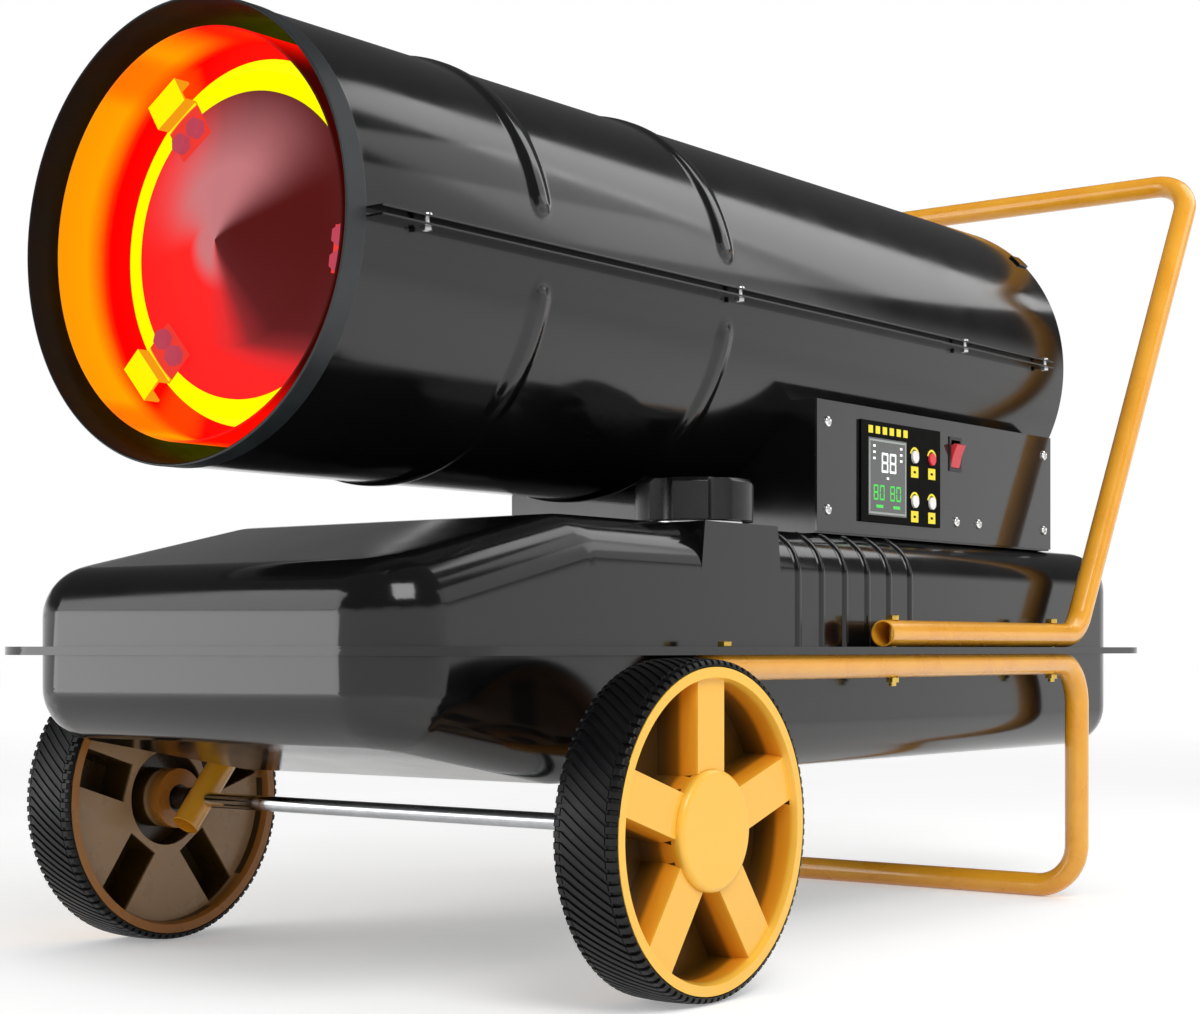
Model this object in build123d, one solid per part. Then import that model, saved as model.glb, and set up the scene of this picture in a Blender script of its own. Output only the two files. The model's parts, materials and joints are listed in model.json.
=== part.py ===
from build123d import *
import math
import os

# Forced air heater, millimetres. +Z up, the warm air leaves towards -Y, the controls face +X.
# The origin is on the ground, below the middle of the overall box.
# Stations are distances behind the front edge of the tank's seam flange.

# ---- driving dimensions ----
clearance = 0.3              # between pieces that move or slip past each other
fit_gap = 0.15               # round a fastener, pipe or seat, on the radius
running_clearance = 0.05     # a shaft in its bush, on the radius
sheet = 2.0                  # brackets, clips and flanges made of steel sheet

# tank, two deep pressings joined at a flange
seam_height = 236.0
flange_margin = 37.5         # from the tank's side walls out to the flange's edge
flange_length = 1113.0
flange_corner = 75.0
flange_lip = 4.5
tank_half_width = 186.0
tank_front_station = 16.0
tank_length = 1084.0
tank_corner = 52.0
tank_depth = 95.0
tank_wall = 1.5
shoulder_radius = 38.0
ramp_run = 200.0
ridge_radius = 90.0
upper_ramp_drop = 43.0
lower_ramp_rise = 36.0
rib_count = 6
rib_pitch = 36.0
rib_width = 9.0
rib_height = 2.0
first_rib_station = 487.0
drain_station = 760.0
drain_radius = 9.0
drain_head_radius = 13.5
drain_head_height = 6.0
drain_thread_length = 8.0

# filler
filler_inset = 44.0          # from the tank's side wall in to the filler's middle
filler_station = 407.0
boss_width = 100.0
boss_foot_width = 124.0
boss_depth = 76.0
neck_radius = 29.0
neck_bore_radius = 24.0
neck_rise = 17.0
neck_drop = 22.0
neck_flange_radius = 38.0
strainer_lip_width = 2.0
strainer_lip_depth = 1.0
strainer_wall = 1.0
strainer_depth = 70.0
gasket_thickness = 2.0
cap_radius = 46.0
cap_height = 32.0
cap_edge = 3.0
cap_lobes = 6
cap_scallop_radius = 13.0
cap_scallop_depth = 6.0

# barrel, two half shells
mouth_station = 5.0
barrel_length = 1029.0
barrel_radius = 155.0
barrel_wall = 1.2
barrel_lift = 27.5           # from the tank's roof up to the barrel
hem_length = 18.0
hem_height = 1.0
bead_stations = (205.0, 435.0)
bead_width = 26.0
bead_height = 2.5
bead_end_angle = 13.0
strip_start_station = 25.0
strip_end_station = 985.0
strip_width = 13.0
strip_thickness = 1.5
strip_gap = 4.0
seam_screw_stations = (73.0, 440.0, 811.0, 976.0)
seam_screw_inset = 6.0
seam_screw_radius = 2.0
seam_head_radius = 4.0
seam_head_height = 2.6

# combustion chamber with its ring baffle and the flame disc in front of it
chamber_setback = 14.0
chamber_gap = 14.8           # all round, between the chamber and the barrel
chamber_wall = 1.5
chamber_length = 430.0
baffle_width = 18.5
disc_setback = 62.0
disc_gap = 1.5
flame_slot = 13.5            # the ring between the disc's edge and the baffle
disc_rim_width = 18.0
cone_height = 31.0
cone_nose_radius = 60.0
disc_wall = 2.0
bracket_turns = (-32.0, -132.0, 98.0)
bracket_width = 32.0
bracket_rise = 12.0
bracket_overhang = 5.0
bracket_foot_gap = 3.5
disc_bolt_radius = 4.0
disc_bolt_spacing = 17.0
disc_bolt_head_radius = 7.5
disc_bolt_head_height = 5.5
disc_bolt_end = 3.0
stay_stations = (90.0, 380.0)
stay_count = 4
stay_width = 22.0
stay_turn = 67.0

# burner head
burner_radius = 58.0
burner_length = 60.0
burner_wall = 4.0
burner_reach = 30.0
burner_flange_width = 8.0
nozzle_radius = 9.0
nozzle_length = 26.0
nozzle_nose = 4.0
nozzle_orifice_radius = 1.0
nozzle_collar_radius = 12.5
nozzle_collar_length = 8.0
swirl_slots = 12
swirl_slot_width = 4.0
swirl_slot_inner = 29.0
swirl_slot_outer = 49.0
electrode_radius = 3.0
electrode_tip_radius = 1.0
electrode_tip_length = 12.0
electrode_offset = 18.0
electrode_rise = 4.5
electrode_nose = 14.0
electrode_length = 84.0

# motor, fan and air pump
motor_station = 850.0
motor_radius = 52.0
motor_length = 92.0
motor_edge = 6.0
shaft_radius = 6.0
fan_lead = 50.0
fan_tip_gap = 10.8
fan_hub_radius = 30.0
fan_depth = 34.0
fan_blades = 5
blade_thickness = 2.5
blade_root_chord = 40.0
blade_root_pitch = 42.0
blade_tip_chord = 90.0
blade_tip_pitch = 24.0
bracket_arms = 4
arm_width = 26.0
arm_thickness = 3.0
pump_radius = 36.0
pump_length = 30.0
pump_wall = 8.0
rotor_offset = 3.0
rotor_vanes = 4
vane_thickness = 2.0
vane_depth = 10.0

# rear guard
guard_rings = 7
guard_wire = 3.0
guard_spokes = 8
guard_hub_radius = 22.0
clip_width = 14.0
clip_length = 16.0
clip_hook = 6.0
clip_count = 4

# control box and its side panel
box_margin = 5.0             # the box is this much wider than the barrel on each side
box_front_station = 555.0
box_length = 435.0
box_height = 110.0
box_wall = 1.5
return_width = 24.0
top_return = 8.0
panel_wall = 2.0
panel_screw_radius = 2.0
panel_screw_length = 8.0
panel_head_radius = 4.6
panel_head_height = 2.4
screw_inset_y = 16.0
screw_inset_z = 18.0
extra_screw_stations = (795.0, 838.0)
gland_x = -60.0
gland_rise = 14.0
gland_radius = 8.0
gland_bore_radius = 4.4
gland_flange_radius = 12.0
gland_flange_length = 5.0
gland_dome_radius = 9.6
gland_dome_length = 13.0
gland_nut_radius = 11.0
gland_nut_length = 4.0
transformer_start = 150.0
transformer_width = 44.0
transformer_length = 64.0
transformer_height = 46.0
transformer_edge = 5.0

# display and keys, measured from the box's front wall and from the panel's lower edge
display_start = 67.0
display_width = 139.0
display_low = 11.0
display_height = 86.0
display_thickness = 2.5
window_start = 79.0
window_width = 66.0
window_low = 17.0
window_height = 66.0
window_thickness = 1.2
key_columns = (159.0, 190.0)
key_rows = (71.0, 32.0)
key_radius = 5.5
key_rise = 1.8
key_travel = 1.2
key_collar_width = 1.2
key_collar_depth = 3.0
switch_radius = 3.5
board_gap = 12.0
board_thickness = 1.6
board_margin = 8.0
board_height = 84.0
standoff_radius = 3.0
standoff_rows = (29.5, 78.5)

# rocker switch
rocker_start = 238.0
rocker_rise = 79.0
rocker_width = 20.0
rocker_height = 28.0
rocker_depth = 20.0
rocker_wall = 1.5
rocker_bezel = 1.5
bezel_thickness = 1.0
rocker_swing = 36.0
rocker_pin_radius = 1.5
rocker_pin_depth = 2.5
rocker_face = 6.5
rocker_dish = 1.0
rocker_root = 4.0

# fuel and air pipes
pipe_radius = 3.0
pipe_bend = 20.0
fuel_x = 70.0
fuel_station = 685.0
fuel_turn_station = 600.0
pickup_radius = 9.0
pickup_length = 18.0
pickup_lift = 2.5
air_front_station = 715.0
air_duct_rise = 12.0
air_drop = 24.0
air_inlet_setback = 17.0
air_bend = 9.0

# handle and leg tubes
tube_radius = 11.0
tube_wall = 1.5
tube_gap = 13.0              # between the tank's side walls and the tubes
bend_radius = 40.0
handle_front_station = 578.0
handle_bend_station = 940.0
handle_top_station = 1225.0
handle_top_height = 723.0
leg_station = 945.0
leg_bend_station = 313.0
leg_end_overhang = 26.0
bolt_radius = 3.0
bolt_head_radius = 5.8
bolt_head_height = 4.0
bolt_end = 3.0
handle_bolt_stations = (594.0, 890.0)
front_bolt_station = 347.0

# axle and wheels
wheel_radius = 115.0
wheel_width = 50.0
wheel_gap = 16.0             # between the leg tube and the wheel
axle_station = 221.0
axle_radius = 6.0
axle_end = 2.5
spacer_wall = 3.0
tyre_shoulder = 4.0
tyre_crown = 0.8
tyre_crown_width = 18.0
tyre_edge = 7.0
sidewall_inset = 3.0
rim_radius = 109.0
rim_seat_radius = 104.0
rim_lip = 5.0
rim_lip_width = 7.0
rim_draft = 2.0
spoke_count = 5
spoke_width = 31.0
spoke_foot_width = 36.0
spoke_depth = 12.0
spoke_setback = 4.0
spoke_wall = 2.5
web_setback = 12.0
web_wall = 2.5
hub_radius = 24.0
hub_overhang = 2.0
hub_recess = 6.0
hub_plate = 10.0
hub_disc_radius = 41.0
hub_cap_thickness = 9.0
hub_cap_proud = 1.0
hub_cap_edge = 4.0
bush_radius = 11.0
washer_radius = 12.0
washer_thickness = 1.5
washer_pocket = 3.0
clip_disc_thickness = 1.2
clip_disc_width = 2.5

# ---- values worked out from the dimensions ----
total_length = handle_top_station + tube_radius


def at(station):
    return station - total_length / 2


tank_front = at(tank_front_station)
tank_rear = tank_front + tank_length
tank_top = seam_height + tank_depth
tank_bottom = seam_height - tank_depth
flange_half_width = tank_half_width + flange_margin
filler_x = tank_half_width - filler_inset
tube_x = tank_half_width + tube_gap + tube_radius
wheel_inner_x = tube_x + tube_radius + wheel_gap
mouth = at(mouth_station)
barrel_rear = mouth + barrel_length
barrel_height = tank_top + barrel_lift + barrel_radius
barrel_bore = barrel_radius - barrel_wall
box_half_width = barrel_radius + box_margin
box_front = at(box_front_station)
box_rear = box_front + box_length
box_top = tank_top + box_height
box_floor = tank_top + box_wall
panel_low = box_floor
panel_face = box_half_width + panel_wall
handle_height = seam_height + tank_wall + tube_radius
leg_height = seam_height - tank_wall - tube_radius
axle_y = at(axle_station)
fuel_y = at(fuel_station)
air_front_y = at(air_front_station)
bolt_stations = handle_bolt_stations + (front_bolt_station,)
far = 4 * barrel_radius      # longer than anything that it cuts


# ---- small helpers ----
def block(low, high):
    """A box between two opposite corners."""
    size = [h - l for l, h in zip(low, high)]
    centre = [(l + h) / 2 for l, h in zip(low, high)]
    return Pos(*centre) * Box(*size)


def rod_x(radius, start, end, y, z):
    return Pos((start + end) / 2, y, z) * Rot(0, 90, 0) * Cylinder(radius, abs(end - start))


def rod_y(radius, start, end, x=0.0, z=barrel_height):
    return Pos(x, (start + end) / 2, z) * Rot(90, 0, 0) * Cylinder(radius, abs(end - start))


def rod_z(radius, start, end, x, y):
    return Pos(x, y, (start + end) / 2) * Cylinder(radius, abs(end - start))


def ring_x(outer, inner, start, end, y, z):
    return rod_x(outer, start, end, y, z) - rod_x(inner, start, end, y, z)


def ring_y(outer, inner, start, end, x=0.0, z=barrel_height):
    return rod_y(outer, start, end, x, z) - rod_y(inner, start, end, x, z)


def hexagon_z(radius, start, end, x, y):
    return Pos(x, y, start) * extrude(RegularPolygon(radius, 6), end - start)


def about_barrel(shape, angle):
    """Turn a shape about the barrel's axis."""
    return Pos(0, 0, barrel_height) * Rot(0, angle, 0) * Pos(0, 0, -barrel_height) * shape


def bent_rod(points, radius, corner):
    """A round bar along straight runs joined by tangent arcs."""
    path = FilletPolyline(*points, radius=corner)
    return sweep(Plane(origin=path @ 0, z_dir=path % 0) * Circle(radius), path=path)


def gathered(shapes):
    """Several separate solids kept in one node."""
    solids = []
    for shape in shapes:
        solids.extend(shape.solids())
    return Compound(children=solids)


def mirrored(shape):
    return mirror(shape, Plane.YZ)


nodes = {}


def keep(name, shape):
    shape.label = name
    nodes[name] = shape


# ---- tank ----
def pan(inset, ramp_change):
    """A rounded pan standing on z = 0 whose roof falls towards the front."""
    half = tank_half_width - inset
    front = tank_front + inset
    rear = tank_rear - inset
    depth = tank_depth - inset
    plan = RectangleRounded(2 * half, rear - front, tank_corner - inset)
    body = Pos(0, (front + rear) / 2, 0) * extrude(plan, depth)
    ramp_end = tank_front + ramp_run
    slope = ramp_change / ramp_run
    cut_front = front - depth
    wedge = Plane.YZ * make_face(Polyline(
        (ramp_end, depth),
        (ramp_end, 2 * depth),
        (cut_front, 2 * depth),
        (cut_front, depth - slope * (ramp_end - cut_front)),
        close=True))
    body -= extrude(wedge, 2 * half, both=True)
    roof_low = depth - ramp_change
    ridge = [edge for edge in body.edges()
             if abs(edge.center().Y - ramp_end) < clearance and abs(edge.center().Z - depth) < clearance]
    body = fillet(ridge, ridge_radius)
    rims = []
    for edge in body.edges():
        box = edge.bounding_box()
        crosses_roof = box.size.Y < clearance and front + 1 < box.min.Y < rear - 1
        if box.min.Z > roof_low / 2 and not crosses_roof:
            rims.append(edge)
    return fillet(rims, shoulder_radius - inset)


def boss(inset):
    """The flat-faced boss that carries the filler, wider at its foot."""
    half_top = boss_width / 2 - inset
    half_foot = boss_foot_width / 2 - inset
    inner_x = tank_half_width - boss_depth + inset
    face = Plane.YZ * Pos(at(filler_station), 0, 0) * make_face(Polyline(
        (-half_foot, 0.0),
        (half_foot, 0.0),
        (half_top, tank_depth - inset),
        (-half_top, tank_depth - inset),
        close=True))
    return Pos(inner_x, 0, 0) * extrude(face, tank_half_width - inset - inner_x)


def rib(station, inset):
    """A pressed rib: up the side wall and over the shoulder, ending beside the control box."""
    round_radius = (rib_width ** 2 / 4 + rib_height ** 2) / (2 * rib_height)
    sunk = round_radius - rib_height
    bend = shoulder_radius - sunk
    side = rod_z(round_radius - inset, 0, tank_depth - shoulder_radius, tank_half_width - sunk, at(station))
    section = Plane.XY * Pos(bend, 0, 0) * Circle(round_radius - inset)
    over = Rot(0, -90, 0) * revolve(section, Axis.Y, 90)
    over = Pos(tank_half_width - shoulder_radius, at(station), tank_depth - shoulder_radius) * over
    return (side + over) & block((panel_face + inset, -far, 0), (far, far, 2 * tank_depth))


def flange_plate(thickness, inset=0.0):
    plan = RectangleRounded(2 * (flange_half_width - inset), flange_length - 2 * inset,
                            flange_corner - inset)
    return Pos(0, at(flange_length / 2), 0) * extrude(plan, thickness)


upper_outer = flange_plate(tank_wall) + pan(0.0, upper_ramp_drop) + boss(0.0)
upper_inner = pan(tank_wall, upper_ramp_drop) + boss(tank_wall)
for index in range(rib_count):
    station = first_rib_station + rib_pitch * index
    upper_outer += rib(station, 0.0)
    upper_inner += rib(station, tank_wall)
upper_tank = Pos(0, 0, seam_height) * (upper_outer - upper_inner)

# The lower pressing's rim is turned down all round to stiffen the seam.
lower_tank = flange_plate(tank_wall) + pan(0.0, lower_ramp_rise) - pan(tank_wall, lower_ramp_rise)
lower_tank += flange_plate(flange_lip) - flange_plate(flange_lip, tank_wall)
lower_tank = Pos(0, 0, seam_height) * mirror(lower_tank, Plane.XY)

for side in (-1, 1):
    for station in bolt_stations:
        hole = rod_z(bolt_radius + fit_gap, seam_height - flange_lip, seam_height + flange_lip,
                     side * tube_x, at(station))
        upper_tank -= hole
        lower_tank -= hole
filler_y = at(filler_station)
upper_tank -= rod_z(neck_radius + fit_gap, tank_top - neck_drop, tank_top + 1, filler_x, filler_y)
upper_tank -= rod_z(pipe_radius + fit_gap, tank_top - neck_drop, tank_top + 1, fuel_x, fuel_y)
drain_y = at(drain_station)
lower_tank -= rod_z(drain_radius + fit_gap, tank_bottom - 1, tank_bottom + drain_thread_length, 0, drain_y)
keep("tank_upper_shell", upper_tank)
keep("tank_lower_shell", lower_tank)

drain_plug = hexagon_z(drain_head_radius, tank_bottom - drain_head_height, tank_bottom, 0, drain_y)
drain_plug += rod_z(drain_radius, tank_bottom, tank_bottom + drain_thread_length, 0, drain_y)
keep("drain_plug", drain_plug)


# ---- filler neck, strainer, gasket and cap ----
neck_top = tank_top + neck_rise
neck_low = tank_top - neck_drop
strainer_lip_radius = neck_bore_radius + strainer_lip_width
neck = rod_z(neck_radius, neck_low, neck_top, filler_x, filler_y)
neck += rod_z(neck_flange_radius, tank_top, tank_top + sheet, filler_x, filler_y)
neck -= rod_z(neck_bore_radius, neck_low, neck_top, filler_x, filler_y)
neck -= rod_z(strainer_lip_radius + fit_gap, neck_top - strainer_lip_depth, neck_top, filler_x, filler_y)
keep("filler_neck", neck)

strainer_radius = neck_bore_radius - clearance
strainer_low = neck_top - strainer_depth
strainer = rod_z(strainer_radius, strainer_low, neck_top, filler_x, filler_y)
strainer += rod_z(strainer_lip_radius, neck_top - strainer_lip_depth, neck_top, filler_x, filler_y)
strainer -= rod_z(strainer_radius - strainer_wall, strainer_low + strainer_wall, neck_top,
                  filler_x, filler_y)
keep("fuel_strainer", strainer)

gasket_low = neck_top + clearance
gasket_top = gasket_low + gasket_thickness
gasket = rod_z(neck_radius, gasket_low, gasket_top, filler_x, filler_y)
gasket -= rod_z(neck_bore_radius, gasket_low, gasket_top, filler_x, filler_y)
keep("cap_gasket", gasket)

cap_low = tank_top + sheet + clearance
cap_top = cap_low + cap_height
cap = rod_z(cap_radius, cap_low, cap_top, filler_x, filler_y)
cap = chamfer(cap.edges().filter_by(GeomType.CIRCLE).group_by(Axis.Z)[-1], cap_edge)
scallop_reach = cap_radius + cap_scallop_radius - cap_scallop_depth
for lobe in range(cap_lobes):
    turn = math.radians(360.0 / cap_lobes * (lobe + 0.5))
    cap -= rod_z(cap_scallop_radius, cap_low, cap_top, filler_x + scallop_reach * math.cos(turn),
                 filler_y + scallop_reach * math.sin(turn))
cap -= rod_z(neck_radius + clearance, cap_low, gasket_top + clearance, filler_x, filler_y)
keep("fuel_cap", cap)


# ---- barrel shells ----
bead_round = (bead_width ** 2 / 4 + bead_height ** 2) / (2 * bead_height)


def barrel_solid(shrink):
    """The barrel's outside, or its inside when it is shrunk by the wall."""
    body = rod_y(barrel_radius - shrink, mouth, barrel_rear)
    if shrink == 0:
        body += rod_y(barrel_radius + hem_height, mouth, mouth + hem_length)
    reach = barrel_radius + bead_height - bead_round
    bead_angle = 180.0 - 2 * bead_end_angle
    for station in bead_stations:
        centre = Pos(reach, at(station), 0)
        ball = centre * Sphere(bead_round - shrink)
        bead = revolve(Plane.XY * centre * Circle(bead_round - shrink), Axis.Y, bead_angle)
        bead += ball
        bead += Rot(0, bead_angle, 0) * ball
        for base in (0.0, 180.0):
            body += Pos(0, 0, barrel_height) * Rot(0, bead_end_angle + base, 0) * bead
    return body


strip_start = at(strip_start_station)
strip_end = at(strip_end_station)
strip_reach = barrel_radius + strip_width
lower_strip_top = barrel_height - strip_gap
lower_strip_low = lower_strip_top - strip_thickness
upper_strip_top = barrel_height + strip_thickness
barrel_outside = barrel_solid(0.0)
barrel_inside = barrel_solid(barrel_wall)
upper_shell = barrel_outside & block((-far, mouth, barrel_height), (far, barrel_rear, barrel_height + far))
lower_shell = barrel_outside & block((-far, mouth, barrel_height - far), (far, barrel_rear, barrel_height))
upper_shell += block((-strip_reach, strip_start, barrel_height), (strip_reach, strip_end, upper_strip_top))
lower_shell += block((-strip_reach, strip_start, lower_strip_low), (strip_reach, strip_end, lower_strip_top))
upper_shell -= barrel_inside
lower_shell -= barrel_inside
seam_screws = []
seam_nuts = []
for side in (-1, 1):
    for station in seam_screw_stations:
        x = side * (strip_reach - seam_screw_inset)
        y = at(station)
        hole = rod_z(seam_screw_radius + fit_gap, lower_strip_low - 1, upper_strip_top + 1, x, y)
        upper_shell -= hole
        lower_shell -= hole
        nut_low = lower_strip_low - seam_head_height
        screw = rod_z(seam_screw_radius, nut_low, upper_strip_top, x, y)
        screw += rod_z(seam_head_radius, upper_strip_top, upper_strip_top + seam_head_height, x, y)
        seam_screws.append(screw)
        nut = hexagon_z(seam_head_radius, nut_low, lower_strip_low, x, y)
        seam_nuts.append(nut - rod_z(seam_screw_radius + fit_gap, nut_low, lower_strip_low, x, y))

motor_front = at(motor_station)
motor_rear = motor_front + motor_length
pump_rear = motor_rear + pump_length
air_rear_y = (motor_rear + pump_rear) / 2
for x, y in ((fuel_x, fuel_y), (0.0, air_rear_y), (0.0, air_front_y)):
    lower_shell -= rod_z(pipe_radius + fit_gap, tank_top, barrel_height - barrel_radius / 2, x, y)
keep("barrel_upper_shell", upper_shell)
keep("barrel_lower_shell", lower_shell)
keep("shell_screws", gathered(seam_screws))
keep("shell_nuts", gathered(seam_nuts))


# ---- combustion chamber ----
chamber_front = mouth + chamber_setback
chamber_rear = chamber_front + chamber_length
disc_y = mouth + disc_setback
baffle_y = disc_y + disc_gap
chamber_radius = barrel_bore - chamber_gap
chamber_bore = chamber_radius - chamber_wall
baffle_hole_radius = chamber_bore - baffle_width
disc_radius = baffle_hole_radius - flame_slot
wall_middle = chamber_radius - chamber_wall / 2
back_plate_y = chamber_rear - chamber_wall
chamber = ring_y(chamber_radius, chamber_bore, chamber_front, chamber_rear)
chamber += ring_y(wall_middle, baffle_hole_radius, baffle_y, baffle_y + chamber_wall)
chamber += ring_y(wall_middle, burner_radius + fit_gap, back_plate_y, chamber_rear)
keep("combustion_chamber", chamber)

# The flame disc is a shallow cone with a rounded nose that points out of the mouth, and a flat rim.
cone_radius = disc_radius - disc_rim_width


def cone_profile(base, nose_radius):
    """The area behind the cone's line, right across the axis."""
    area = make_face(Polyline(
        (-disc_radius, base),
        (-cone_radius, base),
        (0, base - cone_height),
        (cone_radius, base),
        (disc_radius, base),
        (disc_radius, base + cone_height),
        (-disc_radius, base + cone_height),
        close=True))
    return fillet(area.vertices().sort_by(Axis.Y)[0], nose_radius)


cone_section = cone_profile(0, cone_nose_radius) - cone_profile(disc_wall, cone_nose_radius - disc_wall)
cone_section &= Pos(disc_radius / 2, 0, 0) * Rectangle(disc_radius, 2 * cone_height)
disc = Pos(0, disc_y, barrel_height) * revolve(cone_section, Axis.Y)

# Each bracket is a hat of sheet: bolted to the disc, stepped forward, and stood on the baffle.
bolt_circle = barrel_height + disc_radius - disc_rim_width / 2
bracket_front = disc_y - bracket_rise
step_level = barrel_height + baffle_hole_radius - bracket_overhang
foot_level = barrel_height + chamber_bore - bracket_foot_gap
half_bracket = bracket_width / 2
brackets = []
disc_bolts = []
for turn in bracket_turns:
    bracket = block((-half_bracket, disc_y - disc_wall, barrel_height + cone_radius),
                    (half_bracket, disc_y, step_level + disc_wall))
    bracket += block((-half_bracket, bracket_front, step_level),
                     (half_bracket, disc_y, step_level + disc_wall))
    bracket += block((-half_bracket, bracket_front, step_level),
                     (half_bracket, bracket_front + disc_wall, foot_level))
    bracket += block((-half_bracket, bracket_front, foot_level - disc_wall),
                     (half_bracket, baffle_y, foot_level))
    for offset in (-disc_bolt_spacing / 2, disc_bolt_spacing / 2):
        bore = rod_y(disc_bolt_radius + fit_gap, disc_y - 2 * disc_wall, disc_y + 2 * disc_wall,
                     offset, bolt_circle)
        bracket -= bore
        disc -= about_barrel(bore, turn)
        seat = disc_y - disc_wall
        bolt = rod_y(disc_bolt_radius, seat, disc_y + disc_wall + disc_bolt_end, offset, bolt_circle)
        bolt += Pos(offset, seat, bolt_circle) * Rot(90, 0, 0) * extrude(
            RegularPolygon(disc_bolt_head_radius, 6), disc_bolt_head_height)
        disc_bolts.append(about_barrel(bolt, turn))
    brackets.append(about_barrel(bracket, turn))
keep("flame_disc", disc)
keep("disc_brackets", gathered(brackets))
keep("disc_bolts", gathered(disc_bolts))

stays = []
for station in stay_stations:
    y = at(station)
    band = ring_y(barrel_bore - fit_gap, chamber_radius + fit_gap, y, y + sheet)
    arm = block((-stay_width / 2, y, barrel_height), (stay_width / 2, y + sheet, barrel_height + far))
    for index in range(stay_count):
        stays.append(about_barrel(band & arm, stay_turn + 360.0 / stay_count * index))
keep("chamber_stays", gathered(stays))


# ---- burner head, nozzle and electrodes ----
burner_rear = back_plate_y + burner_reach
burner_front = burner_rear - burner_length
face_rear = burner_front + burner_wall
burner = rod_y(burner_radius, burner_front, burner_rear)
burner += rod_y(burner_radius + burner_flange_width, chamber_rear, chamber_rear + sheet)
burner -= rod_y(burner_radius - burner_wall, face_rear, burner_rear)
burner -= rod_y(nozzle_radius + fit_gap, burner_front, face_rear)
for index in range(swirl_slots):
    cut = block((-swirl_slot_width / 2, burner_front - 1, barrel_height + swirl_slot_inner),
                (swirl_slot_width / 2, face_rear + 1, barrel_height + swirl_slot_outer))
    burner -= about_barrel(cut, 360.0 / swirl_slots * (index + 0.5))
electrode_z = barrel_height + electrode_rise
electrode_front = burner_front - electrode_nose
electrodes = []
for side in (-1, 1):
    x = side * electrode_offset
    burner -= rod_y(electrode_radius + fit_gap, burner_front - 1, face_rear + 1, x, electrode_z)
    electrode = rod_y(electrode_radius, electrode_front, electrode_front + electrode_length, x, electrode_z)
    electrode += rod_y(electrode_tip_radius, electrode_front - electrode_tip_length, electrode_front,
                       x, electrode_z)
    electrodes.append(electrode)
keep("burner_head", burner)
keep("ignition_electrodes", gathered(electrodes))

nozzle_front = burner_front - nozzle_nose
nozzle_rear = nozzle_front + nozzle_length
nozzle = rod_y(nozzle_radius, nozzle_front, nozzle_rear)
nozzle += rod_y(nozzle_collar_radius, face_rear, face_rear + nozzle_collar_length)
nozzle -= rod_y(nozzle_orifice_radius, nozzle_front - 1, nozzle_front + nozzle_nose)
keep("fuel_nozzle", nozzle)


# ---- motor, its bracket, the fan on its shaft and the air pump ----
bearing_radius = shaft_radius + running_clearance
motor = rod_y(motor_radius, motor_front, motor_rear)
motor = fillet(motor.edges().filter_by(GeomType.CIRCLE), motor_edge)
motor -= rod_y(bearing_radius, motor_front - 1, motor_rear + 1)
keep("fan_motor", motor)

band_front = (motor_front + motor_rear - arm_width) / 2
band_rear = band_front + arm_width
band_inner = motor_radius + fit_gap
holder = ring_y(band_inner + arm_thickness, band_inner, band_front, band_rear)
for index in range(bracket_arms):
    arm = block((-arm_thickness / 2, band_front, barrel_height + band_inner + arm_thickness / 2),
                (arm_thickness / 2, band_rear, barrel_height + far))
    arm &= rod_y(barrel_bore - fit_gap, band_front, band_rear)
    holder += about_barrel(arm, 360.0 / bracket_arms * (index + 0.5))
keep("motor_bracket", holder)


def blade_section(height, chord, pitch):
    return Pos(0, 0, height) * Rot(0, 0, pitch) * Rectangle(chord, blade_thickness)


fan_radius = barrel_bore - fan_tip_gap
fan_front = motor_front - fan_lead
fan_rear = fan_front + fan_depth
blade = loft([blade_section(fan_hub_radius - blade_thickness, blade_root_chord, blade_root_pitch),
              blade_section(fan_radius + blade_thickness, blade_tip_chord, blade_tip_pitch)])
blade = Pos(0, (fan_front + fan_rear) / 2, barrel_height) * blade
fan = rod_y(fan_hub_radius, fan_front, fan_rear)
for index in range(fan_blades):
    fan += about_barrel(blade, 360.0 / fan_blades * index)
fan &= rod_y(fan_radius, fan_front - fan_depth, fan_rear + fan_depth)
fan -= rod_y(shaft_radius + fit_gap, fan_front - 1, fan_rear + 1)
keep("fan", fan)

rotor_front = motor_rear + pump_wall + clearance
rotor_rear = pump_rear - pump_wall - clearance
chamber_radius_pump = pump_radius - pump_wall
rotor_radius = chamber_radius_pump - rotor_offset - 2 * clearance
keep("motor_shaft", rod_y(shaft_radius, fan_front, rotor_rear))

pump = rod_y(pump_radius, motor_rear, pump_rear)
pump -= rod_y(chamber_radius_pump, motor_rear + pump_wall, pump_rear - pump_wall,
              0, barrel_height + rotor_offset)
pump -= rod_y(bearing_radius, motor_rear - 1, motor_rear + pump_wall + 1)
keep("air_pump", pump)

rotor = ring_y(rotor_radius, shaft_radius + fit_gap, rotor_front, rotor_rear)
slot = block((-vane_thickness / 2, rotor_front, barrel_height + rotor_radius - vane_depth),
             (vane_thickness / 2, rotor_rear, barrel_height + rotor_radius))
vane = slot & rod_y(rotor_radius, rotor_front, rotor_rear)
vanes = []
for index in range(rotor_vanes):
    turn = 360.0 / rotor_vanes * index
    rotor -= about_barrel(slot, turn)
    vanes.append(about_barrel(vane, turn))
keep("pump_rotor", rotor)
keep("pump_vanes", gathered(vanes))


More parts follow.
